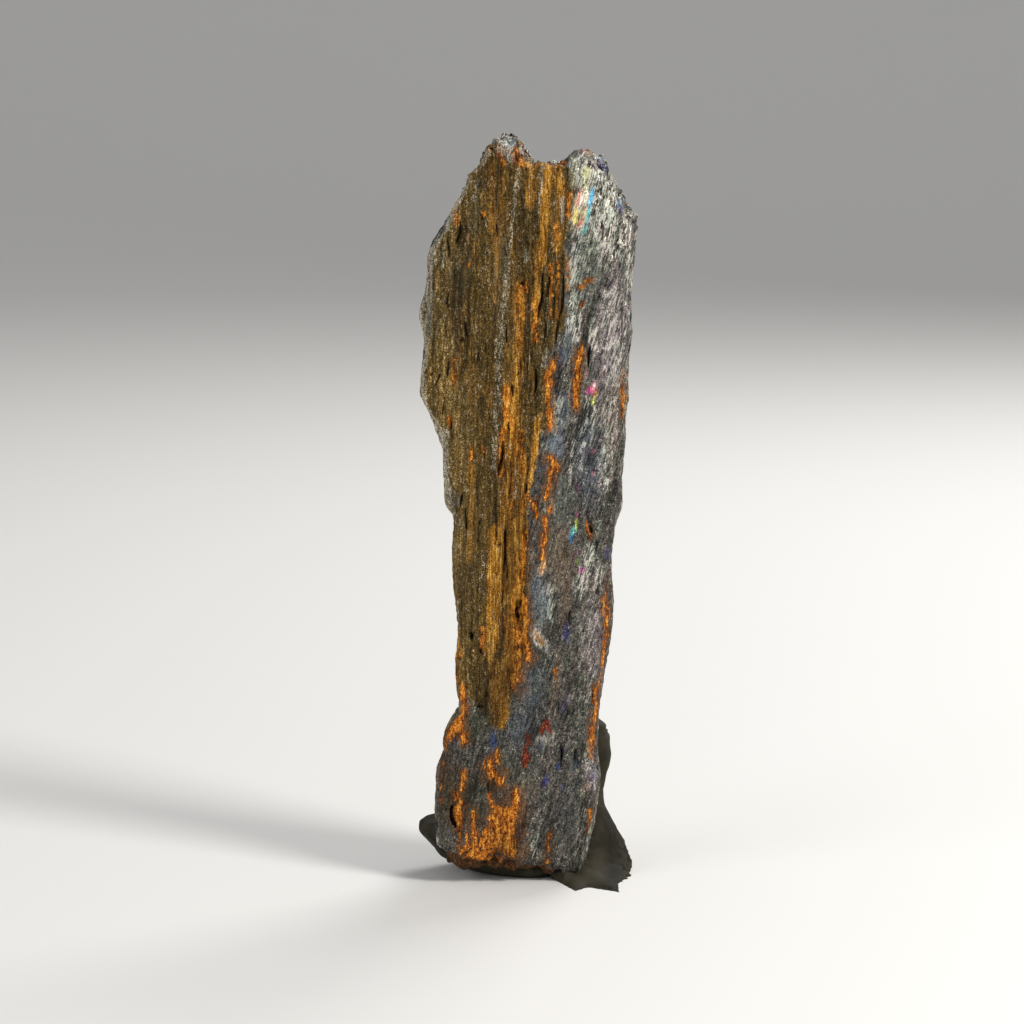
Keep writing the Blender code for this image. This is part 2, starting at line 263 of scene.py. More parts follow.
class Graph:
    def __init__(self, name):
        self.material = bpy.data.materials.new(name)
        self.material.use_nodes = True
        self.tree = self.material.node_tree
        self.shader = self.tree.nodes["Principled BSDF"]

    def surface(self, name, value):
        self.feed(self.shader.inputs[name], value)

    def feed(self, socket, value):
        if isinstance(value, Wire):
            self.tree.links.new(value.socket, socket)
        elif hasattr(value, "__len__") and len(value) == 3 and socket.type == "RGBA":
            socket.default_value = (*value, 1.0)
        else:
            socket.default_value = value

    def node(self, kind, settings=None, values=None):
        made = self.tree.nodes.new(kind)
        for name, setting in (settings or {}).items():
            if name == "stops":
                self.setStops(made.color_ramp, setting)
            else:
                setattr(made, name, setting)
        for name, value in (values or {}).items():
            self.feed(made.inputs[name], value)
        return Outputs(self, made)

    def setStops(self, ramp, stops):
        while len(ramp.elements) < len(stops):
            ramp.elements.new(1.0)
        for element, (place, colour) in zip(ramp.elements, stops):
            element.position = place
            element.color = (*colour, 1.0)

    def field(self, name, output="Fac"):
        return self.node("ShaderNodeAttribute", {"attribute_name": name})[output]

    def bump(self, height, strength, distance):
        values = {"Height": height, "Strength": strength, "Distance": distance}
        return self.node("ShaderNodeBump", {}, values)["Normal"]

    def mix(self, factor, first, second, blend="MIX"):
        made = self.tree.nodes.new("ShaderNodeMix")
        made.data_type = "RGBA"
        made.blend_type = blend
        self.feed(made.inputs[0], factor)
        self.feed(made.inputs[6], first)
        self.feed(made.inputs[7], second)
        return Wire(self, made.outputs[2])

    def places(self):
        # The place on the piece in millimetres
        return self.scaled(self.node("ShaderNodeTexCoord")["Object"], 1.0 / mm)

    def vector(self, operation, *others):
        settings = {"operation": operation}
        return self.node("ShaderNodeVectorMath", settings, dict(enumerate(others)))["Vector"]

    def scaled(self, vector, factor):
        settings = {"operation": "SCALE"}
        return self.node("ShaderNodeVectorMath", settings, {0: vector, "Scale": factor})["Vector"]

    def split(self, vector):
        return self.node("ShaderNodeSeparateXYZ", {}, {0: vector})

    def noise(self, place, pitch, detail=2.0):
        scaled = self.vector("DIVIDE", place, pitch)
        values = {"Vector": scaled, "Scale": 1.0, "Detail": detail}
        return self.node("ShaderNodeTexNoise", {}, values)["Fac"]

    def ripple(self, place, pitch, detail=2.0):
        # The same noise around 0
        return self.noise(place, pitch, detail) - 0.5

    def cells(self, place, pitch):
        # A random colour for each small grain
        scaled = self.vector("DIVIDE", place, pitch)
        return self.node("ShaderNodeTexVoronoi", {}, {"Vector": scaled, "Scale": 1.0})["Color"]

    def part(self, colour, channel):
        return self.node("ShaderNodeSeparateColor", {}, {0: colour})[channel]


def shade(red, green, blue):
    # A screen colour from 0 to 255 as linear light
    return tuple(round(((value / 255 + 0.055) / 1.055) ** 2.4, 4) for value in (red, green, blue))


# The stone

stone = {
    "voxel": 0.24,
    "squeeze": 0.5,  # cells are this much shorter across the fibres than along them
    "smoothing": 3,
    # Each kind of relief: how far it rises, and its pitch across, deep and along
    "fibre": (0.26, (1.1, 1.1, 16.0)),
    "fineFibre": (0.16, (0.5, 0.5, 6.0)),
    "ledge": (0.26, (3.6, 3.6, 34.0)),
    "flake": (0.26, (0.85, 0.85, 5.0)),
    "smallFlake": (0.13, (0.85 / 2.2, 0.85 / 2.2, 5.0 / 2.2)),
    "blade": (0.2, (2.0, 2.0, 12.0)),
    "grain": (0.1, (0.42, 0.42, 0.7)),
    "layer": (0.3, (3.0, 0.55, 18.0)),
    "splinter": (0.45, (0.9, 0.9, 3.0)),
    "crest": (0.5, (0.8, 0.8, 0.9)),
    "rustGrain": (0.16, (0.5, 0.5, 0.6)),
    "slitPitch": (0.75, 0.75, 8.0),
    "slitFrom": 0.44,
    "lean": 0.30,  # the steel face's flakes lean by this, x per height
    "frontPlane": -10.0,  # the drawn marks are as the camera sees them on this plane
    "sightSlope": 0.14,
    "topStep": 1.1,  # the broken top lies this far behind the front plate
    "crackDepth": 0.9,
    "edgeRag": (0.22, 1.0),  # how far the drawn marks' edges break up, across and along
    "filmRag": (0.25, 0.5),
    "skinWander": 7.0,  # the skin's patches on the hidden sides come and go over this, across
    "stainSpread": 3.0,  # the stain round a rust mark is this much wider than the mark
    "flankRust": 0.34,
    "backShine": 0.40,
    "layeredSpans": [(1.0, 16.0, 46.0), (1.0, 71.0, 77.0), (-1.0, 13.0, 38.0)],  # side, low, high
    "plateTop": [
        (-9, 113.5), (-5.8, 112.6), (-4.8, 112), (-3.6, 110.6), (-2.5, 109.2), (0.9, 109.9), (4.5, 109.9),
        (6.5, 110.9), (8, 113.5),
    ],
    "skinRight": [
        (23.2, -4.6), (23.8, -3.6), (25.6, -2.9), (28.2, -2.7), (29.5, -2.2), (30.9, -1.8), (32.7, -1.1),
        (34.5, -0.6), (37.6, -0.1), (40.6, 0), (43.6, -0.1), (49.7, -0.1), (54.2, 0), (58.8, 0.1),
        (60.3, 0.1), (61.8, 0.8), (64.8, 1.3), (66.7, 1.8), (68.5, 1.9), (69.7, 3.1), (73.9, 3.5),
        (76.1, 3.4), (77.9, 3.1), (79.7, 2.5), (81.2, 3.3), (83, 4.2), (84.5, 4.8), (86.1, 5.5),
        (89.1, 5.7), (92.1, 5.8), (95.1, 6.1), (97, 5.5), (99.4, 6), (102.7, 6.5), (104.8, 7.2),
        (107.3, 6.9), (110.3, 5.7),
    ],
    "skinLeft": [
        (22.1, -1.2), (23.5, -4.8), (25.6, -6.9), (27.4, -7.9), (29.1, -9), (30.3, -9.9), (31.5, -13.2),
    ],
    "stripTop": [
        (-12.5, 5.2), (-11.2, 4.9), (-9.4, 4.2), (-5.8, 3.8), (-1.5, 3.1), (1.7, 2.5), (3.9, 2.2),
        (4.6, 0.6), (5, -9),
    ],
    # Small corrections to the outline: (x, height of the top, lift) and (height, shift in x)
    "topFit": [
        (-9, 107, -0.2), (-7.2, 110.5, -0.6), (-5.3, 112.4, -1.2), (-5.05, 112.5, -0.5),
        (-4.8, 113.3, -0.1), (-0.9, 113, -0.2), (-0.4, 111.5, -0.6), (0.9, 110.2, -1.3),
        (1.4, 110.2, -0.75), (4, 110.2, -0.9), (5.8, 110.8, -1.5), (6.4, 111.6, -0.95), (7.6, 111.8, -0.7),
        (8.2, 111.6, -0.3), (11.2, 111, -0.5), (11.7, 110.5, -0.1), (12.1, 108.5, -1.1), (13, 107.5, -0.45),
        (14.4, 105, -0.8), (14.9, 103.5, -1.3), (15.3, 102.5, -0.4), (16.5, 101, 0),
    ],
    "rightFit": [
        (12, 0.3), (15.5, 0.8), (19, 0.4), (22, 0.1), (38, 0), (41, -0.2), (44, -0.45), (47, -0.6),
        (52, -0.4), (57, -0.15), (61, -0.6), (66, -0.35), (70, -0.2), (80, -0.2), (88, 0.1), (93, 0.4),
        (98, 0.2), (101, 0), (103, -0.3), (106, -0.4), (109, 0),
    ],
    "leftFit": [
        (2.5, -3.4), (3.5, -2.9), (5, -1.9), (8, -0.6), (11, -0.1), (13, 0.1), (17, 0.15), (20, 0.4),
        (21.5, -0.2), (23.1, -0.2), (24.1, 0), (25, 0.35), (26.1, 1.1), (27, 0.8), (27.6, 0.8), (28.2, 0.4),
        (29, 0), (31, -0.4), (33.5, -0.45), (36, -0.1), (50, 0), (57, -0.5), (60, -0.3), (66, -0.2),
        (71, -0.45), (77, -0.45), (80, 0), (85, -0.4), (89, 0.3), (94, -0.3), (97, 0.1), (98.8, 0.65),
        (99.7, 0.4), (101.5, 0.5), (105, 0.25), (107, 0.3), (108.3, 0.8), (110, 0.6), (112, 0),
    ],
}

# Marks drawn on the front, each a row of strength, half width, then x and height of each point
rustStrokes = [
    (0.9, 0.45, -6.8, 102.9, -6.6, 102.1), (0.75, 0.45, -10.7, 102.4, -10.7, 100.9),
    (0.8, 0.36, -9, 94.8, -9, 94.2), (0.7, 0.39, -11.1, 80.3, -11.2, 76.1),
    (0.8, 0.48, -8.4, 67, -8.7, 64.8), (0.6, 0.36, -6.9, 66.8, -6.9, 65.9),
    (0.7, 0.45, -11.7, 71.1, -11.8, 70), (0.85, 0.82, -1.1, 91.2, -1.3, 89.1, -1.1, 86.4),
    (0.42, 0.51, 3.3, 94.8, 3.6, 90.6, 3.4, 86.4), (0.42, 0.39, 4.6, 94.8, 4.6, 86.4),
    (0.8, 0.45, -0.3, 91.5, -0.1, 90), (0.75, 0.45, 1.1, 89.1, 1.1, 83),
    (0.6, 0.45, -1.1, 84.5, -1.2, 82.3), (0.8, 0.36, 6.3, 105.4, 6.1, 103.6, 6, 101.8),
    (0.8, 0.45, 4.2, 100.3, 4.5, 98.5), (0.45, 0.3, 6, 94.8, 6, 89.7),
    (1, 0.67, -3.1, 75.4, -3.3, 72.4, -2.9, 69.4), (0.8, 0.53, -2.4, 70.9, -2.4, 68.5),
    (0.95, 0.67, -1.9, 67.9, -1.8, 65.4), (0.6, 0.53, -1.1, 69.4, -0.9, 63.3),
    (0.75, 0.53, -3.8, 69.4, -4.2, 62.7), (0.6, 0.45, -2.4, 63.3, -2.5, 57.3),
    (1, 0.6, 3.8, 79.4, 2.9, 77.9, 3, 76.4), (1, 0.48, 3.1, 76.1, 2.9, 73.6, 3.4, 72.1, 3.4, 69.4),
    (1, 0.45, 7.9, 81.7, 7.6, 78.8, 7.3, 75.1), (1, 0.48, 7.5, 80, 7.3, 76.1, 7.3, 73),
    (0.9, 0.36, 9.3, 92.1, 8.4, 91.2, 7.8, 90.9), (0.8, 0.27, 8.2, 88.6, 7.9, 87.6),
    (1, 0.54, 3.3, 65.1, 4.3, 63.8, 3.6, 63, 3.1, 60.9, 2.9, 59.4), (0.8, 0.33, 3.4, 58, 3.1, 57),
    (1, 0.36, -0.8, 57, -0.6, 59.2, 0, 59.4, 0.8, 58.2, 1.3, 56.7),
    (0.9, 0.39, 2.5, 55.8, 2.4, 52.7, 2.2, 50.3), (1, 0.54, -0.4, 53.9, -0.6, 49.7, -1.2, 45.1, -0.4, 43.6),
    (1, 0.97, -1.5, 49.7, -1.6, 45.1, -1.8, 39.1, -1.9, 34.5, -2.2, 30.9),
    (1, 0.67, -0.6, 42.7, -0.3, 40.6, -0.6, 37.6, 0.1, 34.5), (0.8, 0.45, -3.6, 40.9, -3, 37.6),
    (0.75, 0.42, -6.9, 39.1, -6.8, 35.8), (0.7, 0.36, -1.1, 32.1, -1.3, 31.2),
    (0.9, 0.27, -10.8, 41.2, -10.9, 36.1, -10.8, 30), (0.85, 0.36, -10.3, 37, -10.3, 35.1),
    (1, 0.6, -9.9, 30, -9.9, 26.7, -10.3, 23.9, -9.4, 22.1), (0.85, 0.67, -10.8, 25.1, -11.4, 23),
    (0.8, 0.39, -12.2, 22.7, -12.4, 21.2), (0.75, 0.39, -13.5, 17, -13.5, 12.7),
    (0.6, 0.36, -13, 20.6, -13.2, 17.9), (1, 0.39, -4.8, 20.6, -4.6, 18.8),
    (1, 0.9, -5.7, 18.2, -5.2, 17, -4.3, 16.4), (0.8, 0.39, -6.6, 18.8, -5.7, 17.3),
    (0.9, 0.39, -5.7, 13.9, -5.5, 12.4, -5.2, 11.5), (0.9, 0.45, -9.6, 17.3, -9.9, 14.8),
    (0.9, 0.48, -10.9, 13.8, -9.9, 12.4), (1, 0.63, -10.5, 11.5, -10.5, 9.1),
    (0.85, 0.27, -10.5, 8.8, -10.3, 5.8), (1, 0.75, -1.9, 13.8, -1.9, 11.5),
    (1, 1.35, -2.7, 11.2, -3.1, 7.3, -2.7, 5.5), (0.9, 0.75, -4.5, 11.5, -4.2, 5.8),
    (0.95, 0.67, -9.9, 5.5, -7.8, 4.7, -5.4, 5), (0.85, 0.75, -8.1, 6.1, -6.3, 6.4),
    (0.9, 0.75, -4.3, 9.7, -5.1, 5.8), (0.8, 0.54, -8.2, 11.5, -8.1, 7), (0.55, 0.6, -7.2, 7.9, -6.9, 5.5),
    (0.75, 0.75, -5.5, 10.3, -5.4, 5.8), (0.6, 0.36, -9.2, 7.6, -9, 4.8), (0.8, 0.51, -6.3, 8.2, -6.1, 5.8),
    (0.75, 0.45, 3.4, 7.6, 3.1, 4.8), (1, 0.39, 2.9, 3.6, 2.9, 3), (0.9, 0.39, 14.5, 76.1, 14.5, 71.8),
    (0.8, 0.45, 11.5, 44.1, 11.7, 41.2), (0.7, 0.3, 12, 41.5, 11.8, 37.6, 11.4, 34.2),
    (0.9, 0.3, 10.3, 30.6, 10.2, 25.5), (0.7, 0.24, 9.9, 25.5, 9.6, 19.7), (0.8, 0.3, 9.6, 11.5, 9.3, 7.3),
    (0.7, 0.36, 9, 54.8, 9.4, 53.6), (0.6, 0.3, 4.3, 32.7, 4.2, 31.5),
    (0.85, 0.69, -1.6, 111.8, -1.1, 110.7, -0.8, 109.2), (0.6, 0.53, -4.3, 111.2, -3.6, 109.7),
    (0.9, 0.45, -9.9, 4.2, -7.5, 3.9, -4.2, 3.3),
]

redStrokes = [
    (1, 0.69, 2.9, 24.8, 2.2, 23.9, 3.1, 23.6, 2.9, 24.8), (0.95, 0.36, 0.1, 22.7, 0, 22.1),
    (1, 0.51, -0.3, 20.6, -0.4, 18.5), (0.9, 0.3, -11.4, 11.5, -11.4, 9.4),
    (0.8, 0.33, -1.9, 110.7, -1.8, 109.8), (0.7, 0.3, -4.8, 111.5, -4, 110.6),
    (0.7, 0.3, -1.2, 91.7, -0.3, 90.6), (0.5, 0.3, -0.3, 53.3, -0.4, 51.8),
    (0.6, 0.24, 11.4, 78.2, 11.4, 77),
]

goldStrokes = [
    (0.75, 1.35, -2.1, 75.1, -2.4, 63.3), (0.7, 1.2, -3, 61.8, -3.3, 54.2),
    (0.95, 1.2, -1.8, 55.8, -2.1, 42.1, -3, 34.5), (0.85, 1.05, 3, 109.4, 2.7, 101.2, 1.8, 94.8),
    (0.55, 1.35, 0.6, 108.8, 0.4, 103.6), (0.55, 0.9, 4.2, 109.5, 5.1, 105.7, 4.5, 96.7),
    (0.75, 0.75, 1.5, 94.8, 1.2, 86.1), (0.7, 1.05, -1.3, 91.5, -1.3, 84.5, -1.8, 70.9, -2.4, 55.8),
    (0.85, 0.75, -3.1, 75.8, -3, 68.8), (0.9, 0.69, 1.6, 71.2, 1.2, 67.9, 0.6, 63.3, 0.3, 60.3),
    (0.6, 0.75, -0.8, 64.8, -1.2, 54.2), (1, 1.35, -4.6, 54.2, -5.1, 43.6, -5.4, 36.1),
    (0.9, 0.9, -2.7, 52.7, -3, 43.6), (0.85, 0.75, -1.3, 52.7, -1.9, 43.6, -2.4, 31.5),
    (1, 0.67, -5.5, 41.2, -5.7, 34.5), (0.65, 1.8, -4.6, 33, -4.3, 28.5, -3.8, 24.2),
    (0.45, 0.6, -5.5, 110, -5.4, 99.7), (0.4, 0.9, -4.2, 107.3, -4.6, 89.1),
    (0.95, 1.05, -4.2, 5.6, -2.1, 5.5), (0.7, 0.45, -9.8, 17, -10, 14.5),
    (0.5, 0.6, -8.5, 63.3, -8.8, 49.7),
]

seamStrokes = [
    (0.6, 0.51, -1.3, 108.8, -2.1, 103.6, -2.9, 97), (0.65, 0.66, -2.9, 97, -3.6, 89.1, -4.2, 82.3),
    (0.6, 0.69, -4.2, 82.3, -4.6, 73.9, -5.1, 63.3), (1, 0.3, 2.2, 108.9, 1.8, 104.8, 1.5, 102.1),
    (0.95, 0.67, -0.4, 96.8, -0.3, 95.3), (1, 0.51, 5.2, 104.5, 5.1, 100.9),
    (0.8, 0.45, -12.8, 97.3, -13, 94.8), (0.7, 0.45, -13.2, 89.4, -12.4, 89.1),
    (0.75, 0.45, -13.8, 98.2, -15.1, 90.3, -16.1, 81.5, -15.6, 73.9),
    (0.75, 0.33, -7.5, 107.9, -8.2, 104.8), (0.75, 0.45, -12.2, 69.4, -12.3, 63.3, -12, 58),
    (0.8, 0.54, -11.2, 52.7, -11.1, 50.3), (0.7, 0.45, -10.7, 43.6, -10.5, 37.6),
    (0.5, 0.36, -6.8, 49.7, -6.8, 43.6), (0.8, 0.6, 2.7, 81.2, 2.1, 79.1),
    (0.55, 0.45, -1.8, 63.3, -2.2, 58.8),
]

# Painted highlights on the bare steel face and the peak, where the face looks brightest
paintedShineStrokes = [
    (0.95, 1.35, 8.7, 109.1, 8.5, 104.2, 7.8, 99.7), (0.85, 3.6, 10.8, 108.8, 11.7, 96.7),
    (0.95, 0.9, 15, 102.4, 15.3, 90.6), (0.9, 1.2, 7.2, 98.2, 6.8, 87.6), (1, 0.9, 6.1, 85.7, 6.9, 83.3),
    (0.8, 0.75, 9.9, 85.7, 9.6, 81.5), (0.6, 2.4, 12.6, 89.1, 13.2, 77),
    (0.95, 0.75, 4.8, 73.9, 4.2, 70.9, 3.6, 68.8), (0.7, 0.45, 9, 74.5, 8.7, 70.9, 8.2, 68.5),
    (0.7, 0.39, 8.4, 67.9, 7.6, 62.7), (0.6, 0.45, 10.2, 73.3, 9.6, 66.4), (0.55, 0.39, 6.9, 67, 6, 60.3),
    (0.5, 2.1, 12, 73.9, 11.7, 61.8), (1, 1.2, 9.2, 51.5, 8.7, 48.5, 7.8, 44.8),
    (0.7, 1.05, 3.6, 45.8, 3.1, 41.2), (0.6, 1.2, 10.8, 48.2, 9.9, 43.6), (0.6, 1.2, 8.7, 94.8, 7.2, 85.3),
    (0.35, 2.1, 9.3, 40.6, 9, 28.5), (0.5, 1.05, 9.3, 19.4, 9.6, 14.8), (0.55, 1.05, 0.9, 7, 1.2, 3.9),
    (1, 1.35, -3, 114.5, -2.4, 111.8), (0.9, 0.9, 6.5, 112.4, 6.1, 107.6, 6.5, 104.2),
    (0.7, 0.75, 7, 111, 7.3, 106.5), (0.8, 0.6, -4.5, 111.8, -3.9, 110.3),
    (0.9, 1.2, 8.7, 111.5, 10.8, 110.3), (0.5, 1.2, 8.1, 10.3, 7.5, 4.2),
]

# Painted shade in the dark slits and cracks
crackShadeStrokes = [
    (0.7, 0.3, -7, 102.1, -6.9, 101.2), (0.9, 0.24, -10.2, 101.2, -10.3, 98.8, -10.7, 97.6),
    (0.7, 0.27, -12.2, 98.8, -12, 95.7), (0.6, 0.24, -4.8, 100.6, -4.6, 98.8),
    (0.6, 0.21, 1.9, 102.1, 2.1, 93.3), (0.5, 0.21, 2.7, 100.9, 2.7, 94.8),
    (0.9, 0.27, 4.2, 100.6, 5, 100.4), (1, 0.36, 2.2, 93, 2.1, 89.1, 1.6, 86.4),
    (0.9, 0.27, 3.3, 92.7, 3, 89.7), (0.9, 0.3, 5.4, 93.3, 5.2, 89.1, 5, 87),
    (0.8, 0.27, 4, 89.7, 3.8, 86.4), (0.9, 0.27, 4.5, 85.7, 4, 83), (0.8, 0.36, -1.2, 91.7, -0.6, 91.5),
    (0.9, 0.24, -12, 90.3, -12.6, 88.8), (0.9, 0.27, -9.6, 85.7, -9.4, 83.6, -10.2, 82.9),
    (0.8, 0.24, -3.1, 85.4, -3.3, 82.7), (0.9, 0.27, -12, 80, -12.2, 77.6),
    (0.9, 0.3, -13.3, 78.2, -13.9, 76.4), (0.7, 0.27, -14.5, 78.3, -14.8, 77.6),
    (0.8, 0.24, -12.6, 74.5, -12.9, 71.8), (0.7, 0.24, -1.3, 80, -1.2, 78.5, -1.9, 77.6),
    (0.7, 0.24, -7.5, 81.5, -7.6, 79.1), (0.9, 0.3, 1.1, 75.8, 0.9, 74.5),
    (0.6, 0.24, 2.7, 85.7, 2.5, 82.4), (1, 0.33, -3.8, 67.9, -4, 65.1, -4.3, 62.7),
    (0.8, 0.24, -2.9, 70.6, -3, 68.8), (0.7, 0.21, -2.5, 63.3, -3, 58.8),
    (0.85, 0.21, -3.8, 53.3, -3.8, 48.8, -4, 42.7), (0.8, 0.21, -4.8, 51.8, -3.6, 52.3),
    (0.7, 0.24, -7.3, 55.8, -7.8, 51.8), (1, 0.36, 9.3, 82.3, 9, 79.1), (0.9, 0.27, 3.1, 62.7, 3, 60.6),
    (0.8, 0.3, -0.3, 53.6, -0.4, 52.4), (0.9, 0.24, -1.3, 43.3, -1.6, 41.8, -1.5, 40),
    (0.9, 0.24, -1.2, 43.6, -1.3, 42.4), (1, 0.33, -8.7, 38.5, -8.7, 37.7),
    (0.95, 0.39, -7.2, 36.1, -6.9, 35.5), (0.8, 0.24, -4.8, 36.7, -4.8, 35.9),
    (0.8, 0.21, -7.9, 27.3, -6.9, 27.1), (0.7, 0.21, -6.3, 28.8, -6, 29.4),
    (0.9, 0.33, -9.9, 59.7, -10.2, 57.9), (0.9, 0.3, -10.8, 57.3, -10.2, 57),
    (0.9, 0.27, -6, 15.9, -6, 13.9), (1, 0.39, -11.4, 11.8, -11.5, 10.3, -11.1, 8.8),
    (0.8, 0.3, -8.7, 5.2, -9.6, 4.8), (0.85, 0.27, 7.2, 20.6, 7.3, 19.1), (1, 0.42, 9.4, 54.8, 9.6, 53.8),
    (0.6, 0.24, 10.3, 52.7, 10.2, 50.9), (0.9, 0.6, 10.9, 109.7, 11.4, 108.8),
    (0.7, 0.24, 14.2, 89.1, 14.2, 82.3), (0.6, 0.24, 11.5, 96.7, 11.1, 92.9),
    (0.8, 0.27, -1.8, 111.5, -1.5, 109.7), (0.6, 0.21, -0.8, 110.6, -0.4, 109.4),
    (0.7, 0.3, -3.3, 111.2, -3, 110), (0.6, 0.21, 3.6, 30, 3.6, 28.5), (0.6, 0.21, 7.3, 60.3, 7.2, 58.8),
    (0.7, 0.27, -2.1, 58.8, -2.2, 55.8),
]
